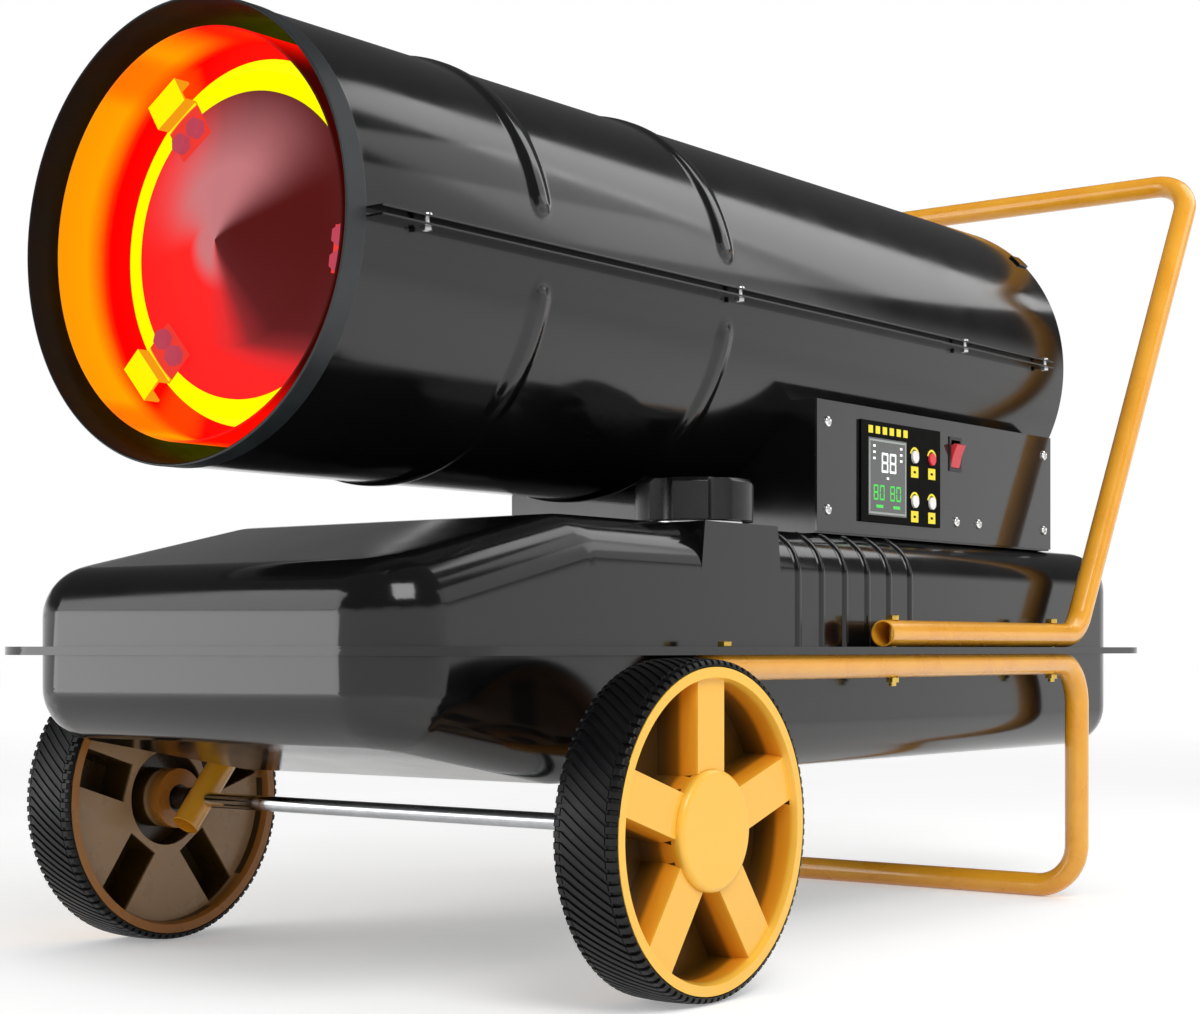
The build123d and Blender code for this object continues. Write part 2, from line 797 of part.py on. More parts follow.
# ---- rear guard ----
# Wire rings, with straight wires welded across their inner side and a disc at the middle.
guard_front = barrel_rear - guard_wire
guard_reach = barrel_bore - clearance
spoke_front = guard_front - guard_wire
guard = rod_y(guard_hub_radius, spoke_front, barrel_rear)
for index in range(guard_rings):
    share = (index + 1) / guard_rings
    radius = guard_hub_radius + (guard_reach - guard_hub_radius) * share
    guard += ring_y(radius, radius - guard_wire, guard_front, barrel_rear)
spoke = block((-guard_wire / 2, spoke_front, barrel_height + guard_hub_radius - guard_wire),
              (guard_wire / 2, guard_front + guard_wire / 2, barrel_height + guard_reach - guard_wire / 2))
for index in range(guard_spokes):
    guard += about_barrel(spoke, 360.0 / guard_spokes * index)
keep("rear_guard", guard)

clip_inner = barrel_radius + fit_gap
strap = ring_y(clip_inner + sheet, clip_inner, barrel_rear - clip_length, barrel_rear + sheet)
strap += ring_y(clip_inner + sheet, guard_reach - clip_hook, barrel_rear, barrel_rear + sheet)
strap &= block((-clip_width / 2, barrel_rear - clip_length, barrel_height),
               (clip_width / 2, barrel_rear + sheet, barrel_height + far))
clips = []
for index in range(clip_count):
    clips.append(about_barrel(strap, 360.0 / clip_count * (index + 0.5)))
keep("guard_clips", gathered(clips))


# ---- control box ----
def across(shape_low, shape_high):
    """A block right across the box's near side wall, between (y, z) corners."""
    return block((box_half_width - box_wall - 1, *shape_low), (box_half_width + 1, *shape_high))


control_box = block((-box_half_width, box_front, tank_top), (box_half_width, box_rear, box_top))
control_box -= block((-box_half_width + box_wall, box_front + box_wall, box_floor),
                     (box_half_width - box_wall, box_rear - box_wall, box_top - box_wall))
control_box -= across((box_front + return_width, panel_low + return_width),
                      (box_rear - return_width, box_top - top_return))
control_box -= rod_y(barrel_radius + fit_gap, box_front - 1, box_rear + 1)
control_box -= rod_z(pipe_radius + fit_gap, tank_top - 1, box_floor + 1, fuel_x, fuel_y)
gland_z = box_floor + gland_rise
control_box -= rod_y(gland_radius + fit_gap, box_rear - 2 * box_wall, box_rear + 1, gland_x, gland_z)

panel = block((box_half_width, box_front, panel_low), (panel_face, box_rear, box_top))
screw_places = []
for y in (box_front + screw_inset_y, box_rear - screw_inset_y):
    screw_places.append((y, panel_low + screw_inset_z))
    screw_places.append((y, box_top - screw_inset_z))
for station in extra_screw_stations:
    screw_places.append((at(station), panel_low + screw_inset_z))
panel_screws = []
for y, z in screw_places:
    hole = rod_x(panel_screw_radius + fit_gap, panel_face - panel_screw_length, panel_face + 1, y, z)
    panel -= hole
    control_box -= hole
    head = rod_x(panel_head_radius, panel_face, panel_face + panel_head_height, y, z)
    rim_edge = head.edges().filter_by(GeomType.CIRCLE).group_by(Axis.X)[-1]
    head = chamfer(rim_edge, panel_head_height / 2)
    panel_screws.append(head + rod_x(panel_screw_radius, panel_face - panel_screw_length, panel_face, y, z))
keep("panel_screws", gathered(panel_screws))
keep("control_box", control_box)

transformer_x = -box_half_width + box_wall
transformer_y = box_front + transformer_start
transformer = block((transformer_x, transformer_y, box_floor),
                    (transformer_x + transformer_width, transformer_y + transformer_length,
                     box_floor + transformer_height))
transformer = fillet(transformer.edges().filter_by(Axis.Z), transformer_edge)
keep("ignition_transformer", transformer)

gland = rod_y(gland_radius, box_rear - box_wall, box_rear, gland_x, gland_z)
gland_flange_rear = box_rear + gland_flange_length
gland_dome_rear = gland_flange_rear + gland_dome_length
gland_nut_front = box_rear - box_wall - gland_nut_length
gland += rod_y(gland_flange_radius, box_rear, gland_flange_rear, gland_x, gland_z)
gland += rod_y(gland_dome_radius, gland_flange_rear, gland_dome_rear, gland_x, gland_z)
gland += rod_y(gland_nut_radius, gland_nut_front, box_rear - box_wall, gland_x, gland_z)
gland -= rod_y(gland_bore_radius, gland_nut_front - 1, gland_dome_rear + 1, gland_x, gland_z)
keep("cord_gland", gland)


# ---- display, keys and board ----
display_y = box_front + display_start
display_z = panel_low + display_low
display_face = panel_face + display_thickness
display = block((panel_face, display_y, display_z),
                (display_face, display_y + display_width, display_z + display_height))
window_y = box_front + window_start
window_z = panel_low + window_low
window = block((display_face - window_thickness, window_y, window_z),
               (display_face, window_y + window_width, window_z + window_height))
display -= window
keep("display_window", window)

board_face = box_half_width - board_gap
key_low_x = box_half_width - key_collar_depth
board = block((board_face - board_thickness, display_y - board_margin, display_z),
              (board_face, display_y + display_width + board_margin, display_z + board_height))
key_names = ("mode_key", "power_key", "lower_key", "raise_key")
key_places = [(column, row) for row in key_rows for column in key_columns]
for name, (column, row) in zip(key_names, key_places):
    y = box_front + column
    z = panel_low + row
    bore = rod_x(key_radius + clearance, box_half_width - 1, display_face + 1, y, z)
    display -= bore
    panel -= bore
    key = rod_x(key_radius, key_low_x, display_face + key_rise, y, z)
    key += rod_x(key_radius + key_collar_width, key_low_x, box_half_width - clearance, y, z)
    keep(name, key)
    board += rod_x(switch_radius, board_face, key_low_x - key_travel - clearance, y, z)
for y in (display_y - board_margin / 2, display_y + display_width + board_margin / 2):
    for row in standoff_rows:
        board += rod_x(standoff_radius, board_face, box_half_width, y, panel_low + row)
keep("display_module", display)
keep("control_board", board)


# ---- rocker switch ----
rocker_y = box_front + rocker_start
rocker_z = panel_low + rocker_rise
half_w = rocker_width / 2
half_h = rocker_height / 2
bezel_face = panel_face + bezel_thickness
pocket_half_w = half_w - rocker_wall
pocket_half_h = half_h - rocker_wall
pin_x = panel_face - rocker_pin_depth


def rocker_block(half_width, half_height, low_x, high_x):
    return block((low_x, rocker_y - half_width, rocker_z - half_height),
                 (high_x, rocker_y + half_width, rocker_z + half_height))


housing = rocker_block(half_w, half_h, box_half_width - rocker_depth, panel_face)
housing += rocker_block(half_w + rocker_bezel, half_h + rocker_bezel, panel_face, bezel_face)
housing -= rocker_block(pocket_half_w, pocket_half_h, box_half_width - rocker_depth + rocker_wall,
                        bezel_face + 1)
housing += rod_y(rocker_pin_radius, rocker_y - half_w + rocker_wall / 2, rocker_y + half_w - rocker_wall / 2,
                 pin_x, rocker_z)
panel -= rocker_block(half_w, half_h, box_half_width - 1, panel_face + 1)
keep("rocker_housing", housing)
keep("side_panel", panel)

# The key's ends are as far out as they can be and still swing clear of the pocket.
half_swing = math.radians(rocker_swing / 2)
face_reach = (pocket_half_h - clearance - rocker_face * math.sin(half_swing)) / math.cos(half_swing)
rocker_outline = Plane.XZ * make_face(Polyline(
    (-rocker_root, -face_reach / 3),
    (rocker_face / 2, -face_reach),
    (rocker_face, -face_reach),
    (rocker_face - rocker_dish, 0.0),
    (rocker_face, face_reach),
    (rocker_face / 2, face_reach),
    (-rocker_root, face_reach / 3),
    close=True))
rocker_key = extrude(rocker_outline, pocket_half_w - clearance, both=True)
rocker_key -= Rot(90, 0, 0) * Cylinder(rocker_pin_radius + running_clearance, 2 * rocker_width)
rocker_key = Pos(pin_x, rocker_y, rocker_z) * Rot(0, rocker_swing / 2, 0) * rocker_key
keep("rocker_key", rocker_key)


# ---- fuel and air pipes ----
pickup_low = tank_bottom + tank_wall + pickup_lift
pickup_top = pickup_low + pickup_length
fuel_pipe = bent_rod([(fuel_x, fuel_y, pickup_top),
                      (fuel_x, fuel_y, barrel_height),
                      (0, at(fuel_turn_station), barrel_height),
                      (0, nozzle_rear, barrel_height)], pipe_radius, pipe_bend)
fuel_pipe += rod_z(pickup_radius, pickup_low, pickup_top, fuel_x, fuel_y)
keep("fuel_pipe", fuel_pipe)

air_duct_z = box_floor + air_duct_rise
air_run_z = barrel_height - air_drop
air_inlet_y = burner_front + air_inlet_setback
air_pipe = bent_rod([(0, air_rear_y, barrel_height - pump_radius),
                     (0, air_rear_y, air_duct_z),
                     (0, air_front_y, air_duct_z),
                     (0, air_front_y, air_run_z),
                     (0, air_inlet_y, air_run_z),
                     (0, air_inlet_y, barrel_height - nozzle_radius)], pipe_radius, air_bend)
keep("air_pipe", air_pipe)


# ---- handle and leg tubes ----
def mirrored_path(points):
    """A path out along +X points and back along their mirror images."""
    return points + [(-x, y, z) for x, y, z in reversed(points)]


def bent_tube(points):
    return bent_rod(points, tube_radius, bend_radius) - bent_rod(points, tube_radius - tube_wall, bend_radius)


handle = bent_tube(mirrored_path([(tube_x, at(handle_front_station), handle_height),
                                  (tube_x, at(handle_bend_station), handle_height),
                                  (tube_x, at(handle_top_station), handle_top_height)]))
leg_bend_y = at(leg_bend_station)
leg_y = at(leg_station)
slope_run = leg_bend_y - axle_y
slope_rise = leg_height - wheel_radius
overhang_share = leg_end_overhang / math.hypot(slope_run, slope_rise)
leg = bent_tube(mirrored_path([(tube_x, axle_y - slope_run * overhang_share,
                                wheel_radius - slope_rise * overhang_share),
                               (tube_x, leg_bend_y, leg_height),
                               (tube_x, leg_y, leg_height),
                               (tube_x, leg_y, tube_radius)]))
frame_bolts = []
frame_nuts = []
nut_top = leg_height - tube_radius
nut_low = nut_top - bolt_head_height
for side in (-1, 1):
    x = side * tube_x
    for station in bolt_stations:
        y = at(station)
        through_handle = station in handle_bolt_stations
        seat = handle_height + tube_radius if through_handle else seam_height + tank_wall
        hole = rod_z(bolt_radius + fit_gap, nut_low, seat + 1, x, y)
        leg -= hole
        if through_handle:
            handle -= hole
        bolt = rod_z(bolt_radius, nut_low - bolt_end, seat, x, y)
        frame_bolts.append(bolt + hexagon_z(bolt_head_radius, seat, seat + bolt_head_height, x, y))
        nut = hexagon_z(bolt_head_radius, nut_low, nut_top, x, y)
        frame_nuts.append(nut - rod_z(bolt_radius + fit_gap, nut_low, nut_top, x, y))
leg -= rod_x(axle_radius + running_clearance, -wheel_inner_x, wheel_inner_x, axle_y, wheel_radius)
keep("handle_tube", handle)
keep("leg_frame_tube", leg)
keep("frame_bolts", gathered(frame_bolts))
keep("frame_nuts", gathered(frame_nuts))


# ---- axle ----
inner = wheel_inner_x
outer = wheel_inner_x + wheel_width
cap_face_x = outer + hub_cap_proud
cap_inner_x = cap_face_x - hub_cap_thickness
hub_inner_x = inner - hub_overhang
hub_outer_x = cap_inner_x - hub_recess
washer_start = hub_outer_x + clearance
clip_start = washer_start + washer_thickness
axle_reach = clip_start + clip_disc_thickness + axle_end
keep("axle", rod_x(axle_radius, -axle_reach, axle_reach, axle_y, wheel_radius))


def axle_pair(name, outer_radius, start, end):
    """Two equal rings on the axle, one beside each wheel."""
    ring = ring_x(outer_radius, axle_radius + fit_gap, start, end, axle_y, wheel_radius)
    keep(name, gathered([ring, mirrored(ring)]))


axle_pair("axle_spacers", axle_radius + spacer_wall, tube_x + tube_radius + clearance,
          hub_inner_x - clearance)
axle_pair("axle_washers", washer_radius, washer_start, clip_start)
axle_pair("axle_clips", axle_radius + clip_disc_width, clip_start, clip_start + clip_disc_thickness)


# ---- wheels ----
def turned(points):
    """A solid of revolution about the axle from (x, radius) points."""
    face = make_face(Polyline(*points, close=True))
    return Pos(0, axle_y, wheel_radius) * revolve(face, Axis.X)


middle = (inner + outer) / 2
half_crown = tyre_crown_width / 2
seat_inner = inner + rim_lip + fit_gap
seat_outer = outer - rim_lip - fit_gap
lip_clear = rim_radius + fit_gap
tyre = turned([
    (inner + sidewall_inset, lip_clear),
    (inner, lip_clear + tyre_crown),
    (inner, wheel_radius - tyre_shoulder),
    (inner + tyre_edge, wheel_radius - tyre_crown),
    (middle - half_crown, wheel_radius),
    (middle + half_crown, wheel_radius),
    (outer - tyre_edge, wheel_radius - tyre_crown),
    (outer, wheel_radius - tyre_shoulder),
    (outer, lip_clear + tyre_crown),
    (outer - sidewall_inset, lip_clear),
    (seat_outer, lip_clear),
    (seat_outer, rim_seat_radius + fit_gap),
    (seat_inner, rim_seat_radius + fit_gap),
    (seat_inner, lip_clear)])
lip_bore = rim_radius - rim_lip_width
rim = turned([
    (inner, lip_bore),
    (inner, rim_radius),
    (inner + rim_lip, rim_radius),
    (inner + rim_lip, rim_seat_radius),
    (outer - rim_lip, rim_seat_radius),
    (outer - rim_lip, rim_radius),
    (outer, rim_radius),
    (outer, lip_bore),
    (outer - rim_lip, lip_bore - rim_draft),
    (inner + rim_lip, lip_bore - rim_draft)])
# A web closes the rim near its inner side. The spokes stand out from it and are hollow behind.
spoke_face = outer - spoke_setback
spoke_step = spoke_face - spoke_depth
web_inner = inner + web_setback
rim_bore = lip_bore - rim_draft
rim_middle = (rim_bore + rim_seat_radius) / 2


def spoke_bar(inset, low_x, start_radius, end_radius):
    """A spoke's outside, or its hollow when it is inset, standing up from the axle."""
    half_face = spoke_width / 2 - inset
    half_foot = spoke_foot_width / 2 - inset
    section = make_face(Polyline(
        (spoke_face - inset, -half_face),
        (spoke_face - inset, half_face),
        (spoke_step, half_foot),
        (low_x, half_foot),
        (low_x, -half_foot),
        (spoke_step, -half_foot),
        close=True))
    bar = Pos(0, axle_y, wheel_radius + start_radius) * extrude(section, rim_radius)
    return bar & rod_x(end_radius, inner, outer, axle_y, wheel_radius)


def turned_spoke(bar, index):
    turn = Rot(360.0 / spoke_count * index, 0, 0)
    return Pos(0, axle_y, wheel_radius) * turn * Pos(0, -axle_y, -wheel_radius) * bar


rim += rod_x(rim_middle, web_inner, web_inner + web_wall, axle_y, wheel_radius)
rim += rod_x(hub_disc_radius, web_inner, cap_inner_x, axle_y, wheel_radius)
spoke_outside = spoke_bar(0.0, web_inner, hub_radius, rim_middle)
spoke_hollow = spoke_bar(spoke_wall, inner, hub_disc_radius + fit_gap + spoke_wall, rim_bore)
for index in range(spoke_count):
    rim += turned_spoke(spoke_outside, index)
for index in range(spoke_count):
    rim -= turned_spoke(spoke_hollow, index)
rim -= rod_x(hub_disc_radius - spoke_wall, inner, cap_inner_x - hub_plate, axle_y, wheel_radius)
rim += rod_x(hub_radius, hub_inner_x, hub_outer_x, axle_y, wheel_radius)
rim -= rod_x(hub_disc_radius + fit_gap, cap_inner_x, outer, axle_y, wheel_radius)
rim -= rod_x(bush_radius + fit_gap, hub_inner_x - 1, hub_outer_x + 1, axle_y, wheel_radius)
rim -= rod_x(washer_radius + washer_pocket, hub_outer_x, cap_inner_x + 1, axle_y, wheel_radius)
bush = ring_x(bush_radius, axle_radius + running_clearance, hub_inner_x, hub_outer_x, axle_y, wheel_radius)
hub_cap = rod_x(hub_disc_radius, cap_inner_x, cap_face_x, axle_y, wheel_radius)
hub_cap = fillet(hub_cap.edges().filter_by(GeomType.CIRCLE).group_by(Axis.X)[-1], hub_cap_edge)
for name, shape in (("tyre", tyre), ("rim", rim), ("wheel_bush", bush), ("hub_cap", hub_cap)):
    keep("right_" + name, shape)
    keep("left_" + name, mirrored(shape))


# ---- write every piece ----
os.makedirs("parts", exist_ok=True)
for name, shape in nodes.items():
    export_step(shape, os.path.join("parts", name + ".step"))
print(len(nodes), "nodes")
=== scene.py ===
import json
import math

import bmesh
import bpy
from mathutils import Matrix, Vector


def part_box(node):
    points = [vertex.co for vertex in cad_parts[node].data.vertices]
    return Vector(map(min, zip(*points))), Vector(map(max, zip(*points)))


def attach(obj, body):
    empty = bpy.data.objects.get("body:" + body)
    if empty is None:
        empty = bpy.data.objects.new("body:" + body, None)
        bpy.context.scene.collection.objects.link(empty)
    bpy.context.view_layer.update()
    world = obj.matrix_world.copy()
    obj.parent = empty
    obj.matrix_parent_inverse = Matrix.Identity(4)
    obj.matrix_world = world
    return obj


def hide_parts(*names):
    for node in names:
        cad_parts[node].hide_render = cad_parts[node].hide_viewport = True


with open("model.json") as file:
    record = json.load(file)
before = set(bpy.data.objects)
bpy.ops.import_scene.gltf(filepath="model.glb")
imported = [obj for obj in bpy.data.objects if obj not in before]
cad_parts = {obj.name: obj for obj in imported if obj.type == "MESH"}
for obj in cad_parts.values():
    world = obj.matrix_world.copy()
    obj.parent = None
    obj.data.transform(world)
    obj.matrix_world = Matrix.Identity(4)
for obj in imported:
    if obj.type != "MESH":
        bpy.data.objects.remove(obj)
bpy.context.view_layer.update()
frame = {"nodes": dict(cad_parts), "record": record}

# Forced air heater, metres. +Z up, the warm air leaves towards -Y, the controls face +X.
MM = 0.001


# ---- sizes read from the frame ----
def low(node):
    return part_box(node)[0]


def high(node):
    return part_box(node)[1]


def middle(node):
    return (low(node) + high(node)) / 2


MOUTH = low("barrel_upper_shell").y
BARREL_REAR = high("barrel_upper_shell").y
AXIS_HEIGHT = low("barrel_upper_shell").z
CHAMBER_FRONT = low("combustion_chamber").y
BAFFLE_FRONT = high("disc_brackets").y
DISC_RADIUS = high("flame_disc").x
WHEEL_CENTRE = middle("right_tyre")
WHEEL_RADIUS = high("right_tyre").z / 2
WHEEL_INNER = low("right_tyre").x
PANEL_FACE = high("side_panel").x
PANEL_LOW = low("side_panel").z
DISPLAY_FACE = high("display_module").x

# ---- sizes of the pieces that are made here ----
BARREL_RADIUS = 155 * MM
SHELL_THICKNESS = 1.2 * MM
HEM_LENGTH = 18 * MM
HEM_HEIGHT = 1.0 * MM
HEM_STEP = 1.2 * MM
HEM_STEP_AHEAD = 0.5 * MM
BEAD_DISTANCES = (200 * MM, 430 * MM)
BEAD_HALF_WIDTH = 13 * MM
BEAD_HEIGHT = 2.5 * MM
BEAD_END_DEGREES = 13.0
STRIP_WIDTH = 13 * MM
STRIP_THICKNESS = 1.5 * MM
STRIP_START = 20 * MM
STRIP_END = 980 * MM
STRIP_GAP = 4 * MM
SCREW_HEAD_RADIUS = 4.0 * MM
SCREW_HEAD_HEIGHT = 2.6 * MM
TUBE_RADIUS = 11 * MM
TUBE_WALL = 1.5 * MM
TUBE_BEND = 40 * MM
TUBE_END_ROUNDING = 0.4 * MM
BAFFLE_HOLE_RADIUS = DISC_RADIUS + 13.5 * MM
# How much wider the flame's yellow light is painted on the baffle than its hole, towards +X.
FLAME_RING_WIDENS = 9 * MM
BRACKET_DEGREES = (120.0, 240.0, 0.0)
TYRE_NOTCHES = 96
TYRE_NOTCH_DEPTH = 2.6 * MM
TYRE_GROOVE_DEPTH = 1.3 * MM
TYRE_SLANT_DEGREES = 9.0
# Points this close are one, and faces this near to flat are joined, in the pieces from the frame.
WELD_DISTANCE = 0.002 * MM
FLAT_DEGREES = 0.4


# ---- mesh helpers ----
def make_piece(name, verts, faces, finish, slot, body, replaced=(), crease=35, edge=0.0, segments=2):
    """A mesh object with its finish, fixed to the body that carries it."""
    mesh = bpy.data.meshes.new(name)
    mesh.from_pydata([tuple(v) for v in verts], [], [tuple(f) for f in faces])
    mesh.validate()
    for one in finish if isinstance(finish, list) else [finish]:
        mesh.materials.append(one)
    mesh.polygons.foreach_set("use_smooth", [True] * len(mesh.polygons))
    mesh.set_sharp_from_angle(angle=math.radians(crease))
    piece = bpy.data.objects.new(name, mesh)
    bpy.context.scene.collection.objects.link(piece)
    if edge:
        rounding = piece.modifiers.new("rounded edges", "BEVEL")
        rounding.width = edge
        rounding.segments = segments
        rounding.limit_method = "ANGLE"
        rounding.angle_limit = math.radians(crease)
        rounding.miter_outer = "MITER_ARC"
        rounding.use_clamp_overlap = True
    shading = piece.modifiers.new("even shading", "WEIGHTED_NORMAL")
    shading.keep_sharp = not edge
    shading.weight = 80
    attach(piece, body)
    if replaced:
        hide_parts(*replaced)
    return piece


BODIES = frame["record"]["behaviour"]["bodies"]
BODY_OF = {node: body for body, nodes in BODIES.items() for node in nodes}
SLOT_OF = {row["node"]: row["material_slot"] for row in frame["record"]["subparts"]}


def piece_for(node, name, verts, faces, finish, **more):
    """A piece in place of a node, on that node's body."""
    return make_piece(name, verts, faces, finish, SLOT_OF[node], BODY_OF[node], (node,), **more)


def from_frame(node, finish, edge=0.0, crease=32):
    """A piece with the node's own shape, its flat faces joined and its edges rounded."""
    work = bmesh.new()
    work.from_mesh(frame["nodes"][node].data)
    bmesh.ops.remove_doubles(work, verts=work.verts, dist=WELD_DISTANCE)
    if edge:
        bmesh.ops.dissolve_limit(work, angle_limit=math.radians(FLAT_DEGREES), verts=work.verts,
                                 edges=work.edges)
    verts = [v.co.copy() for v in work.verts]
    work.verts.index_update()
    faces = [[v.index for v in face.verts] for face in work.faces]
    work.free()
    return piece_for(node, node + "_piece", verts, faces, finish, crease=crease, edge=edge)


def spread(start, end, step):
    """Evenly spaced values from start to end, about a step apart."""
    count = max(1, round(abs(end - start) / step))
    return [start + (end - start) * i / count for i in range(count + 1)]


def grid_faces(rows, columns, close_columns=False, close_rows=False, offset=0, flip=False):
    """Quads over a grid of rows of points, wrapped round where its columns or its rows close."""
    faces = []
    for r in range(rows if close_rows else rows - 1):
        here, there = offset + r * columns, offset + (r + 1) % rows * columns
        for c in range(columns if close_columns else columns - 1):
            d = (c + 1) % columns
            quad = [here + c, here + d, there + d, there + c]
            faces.append(quad[::-1] if flip else quad)
    return faces


def smooth_step(t):
    t = min(1.0, max(0.0, t))
    return t * t * (3 - 2 * t)


def bar_points(corner_low, corner_high):
    """The corners and faces of a straight bar."""
    (x0, y0, z0), (x1, y1, z1) = corner_low, corner_high
    verts = [(x, y, z) for x in (x0, x1) for y in (y0, y1) for z in (z0, z1)]
    faces = [(0, 1, 3, 2), (4, 6, 7, 5), (0, 4, 5, 1), (2, 3, 7, 6), (0, 2, 6, 4), (1, 5, 7, 3)]
    return verts, faces


def append_mesh(verts, faces, more_verts, more_faces):
    base = len(verts)
    verts.extend(more_verts)
    faces.extend([i + base for i in face] for face in more_faces)


# ---- material helpers ----
def linear(code):
    """An sRGB hex colour as linear light."""
    values = []
    for i in (1, 3, 5):
        v = int(code[i:i + 2], 16) / 255
        values.append(v / 12.92 if v <= 0.04045 else ((v + 0.055) / 1.055) ** 2.4)
    return (*values, 1.0)


def add(tree, kind, links=(), **settings):
    """Adds a node with its settings; links are (input, output socket) pairs."""
    node = tree.nodes.new(kind)
    for key, value in settings.items():
        if key.startswith("in_"):
            node.inputs[key[3:].replace("_", " ")].default_value = value
        else:
            setattr(node, key, value)
    for name, socket in links:
        tree.links.new(socket, node.inputs[name])
    return node


def finish_named(name, **settings):
    """A new material with its surface shader, and its settings on the shader's own sockets."""
    material = bpy.data.materials.new(name)
    material.use_nodes = True
    shader = material.node_tree.nodes["Principled BSDF"]
    for key, value in settings.items():
        shader.inputs[key.replace("_", " ")].default_value = value
    return material, material.node_tree, shader


def place(tree):
    """Positions in metres, the same for every piece in the frame."""
    return add(tree, "ShaderNodeTexCoord").outputs["Object"]


def speckle(tree, size, detail=3.0):
    """Noise whose patches are about this many metres across."""
    return add(tree, "ShaderNodeTexNoise", [("Vector", place(tree))], in_Scale=1.0 / size,
               in_Detail=detail, in_Roughness=0.55).outputs["Fac"]


def colour_stops(tree, factor, stops):
    """A colour that runs through sRGB codes at positions from 0 to 1."""
    ramp = add(tree, "ShaderNodeValToRGB", [("Fac", factor)])
    elements = ramp.color_ramp.elements
    while len(elements) < len(stops):
        elements.new(0.5)
    for element, (position, code) in zip(elements, stops):
        element.position = position
        element.color = linear(code)
    return ramp.outputs["Color"]


def mixed_colour(tree, shader, factor, dark, light):
    """Colour variation between two close shades of the same finish."""
    colour = colour_stops(tree, factor, ((0.35, dark), (0.65, light)))
    tree.links.new(colour, shader.inputs["Base Color"])


def varied_roughness(tree, shader, factor, least, most):
    """Gloss that differs from patch to patch."""
    span = add(tree, "ShaderNodeMapRange", [("Value", factor)], in_From_Min=0.3, in_From_Max=0.7,
               in_To_Min=least, in_To_Max=most)
    tree.links.new(span.outputs["Result"], shader.inputs["Roughness"])


def relief(tree, shader, height, depth):
    """Fine relief of this depth in metres."""
    bump = add(tree, "ShaderNodeBump", [("Height", height)], in_Distance=depth, in_Strength=1.0)
    tree.links.new(bump.outputs["Normal"], shader.inputs["Normal"])


def mottled(name, patch, shades, gloss, grain, depth, patch_detail=3.0, grain_detail=3.0, **settings):
    """A finish in patches of two close shades with uneven gloss, under a fine relief."""
    material, tree, shader = finish_named(name, **settings)
    cloud = speckle(tree, patch, patch_detail)
    mixed_colour(tree, shader, cloud, *shades)
    varied_roughness(tree, shader, cloud, *gloss)
    relief(tree, shader, speckle(tree, grain, grain_detail), depth)
    return material


# ---- finishes ----
def black_stove_enamel():
    """Stoved gloss enamel on pressed steel: black, mirror-like, with the faintest orange peel."""
    return mottled("black stove enamel", 60 * MM, ("#0c0c0d", "#0f0f10"), (0.1, 0.15), 3.0 * MM,
                   0.003 * MM, grain_detail=1.0, IOR=1.52)


def barrel_inside_painted_shade():
    """The same enamel inside the barrel, baked matte by the heat, near black as painted shade so the glow
    hardly lights it.
    """
    return mottled("inner enamel near black as painted shade", 25 * MM, ("#020202", "#050505"), (0.6, 0.8), 0.8 * MM,
                   0.02 * MM, IOR=1.3)


def charcoal_hem_enamel():
    """The rolled hem round the mouth: the enamel is dulled to a satin charcoal by the heat."""
    return mottled("heat dulled hem enamel", 30 * MM, ("#1b1f21", "#24292b"), (0.42, 0.5), 1.0 * MM,
                   0.01 * MM, IOR=1.5)


def gloss_panel_enamel():
    """Gloss enamel on the flat side panel: black, and so flat that it shows the tubes sharply."""
    return mottled("gloss panel enamel", 40 * MM, ("#202021", "#242425"), (0.05, 0.08), 3.0 * MM,
                   0.001 * MM, grain_detail=1.0, IOR=1.56)


def golden_powder_coat():
    """Powder coat baked on steel tube: warm golden orange, glossy, with a slight ripple."""
    return mottled("golden powder coat", 45 * MM, ("#f0a322", "#f6ae2b"), (0.25, 0.32), 4.0 * MM,
                   0.003 * MM, grain_detail=1.0, IOR=1.5, Coat_Weight=0.6, Coat_Roughness=0.06)


def by_depth(tree, stops):
    """A colour by how far out along the axle a point lies; the stops are (distance, sRGB code)."""
    parts = add(tree, "ShaderNodeSeparateXYZ", [("Vector", place(tree))])
    reach = add(tree, "ShaderNodeMath", [(0, parts.outputs["X"])], operation="ABSOLUTE")
    start, end = stops[0][0], stops[-1][0]
    span = add(tree, "ShaderNodeMapRange", [("Value", reach.outputs["Value"])], in_From_Min=start,
               in_From_Max=end)
    shares = [((distance - start) / (end - start), code) for distance, code in stops]
    return colour_stops(tree, span.outputs["Result"], shares)


def golden_moulding_with_painted_shade():
    """Sprayed ABS wheel moulding: gold where the spray reached, bare brown deep between the spokes,
    darkening with depth as painted shade.
    """
    material, tree, shader = finish_named("golden sprayed moulding with painted shade", IOR=1.47, Coat_Weight=0.3,
                                          Coat_Roughness=0.12)
    outer = high("right_rim").x
    # Painted shade by depth: gold at the outer faces, darkening to brown and nearly black the further in a
    # face lies.
    colour = by_depth(tree, ((outer - 40 * MM, "#3c2702"), (outer - 28 * MM, "#5a3a04"),
                             (outer - 19 * MM, "#8a5510"), (outer - 15 * MM, "#e8921c"),
                             (outer - 6 * MM, "#f2a428"), (outer - 3.5 * MM, "#fcc446"),
                             (outer + 2 * MM, "#fcc240")))
    tree.links.new(colour, shader.inputs["Base Color"])
    varied_roughness(tree, shader, speckle(tree, 30 * MM), 0.3, 0.38)
    relief(tree, shader, speckle(tree, 0.9 * MM), 0.01 * MM)
    return material


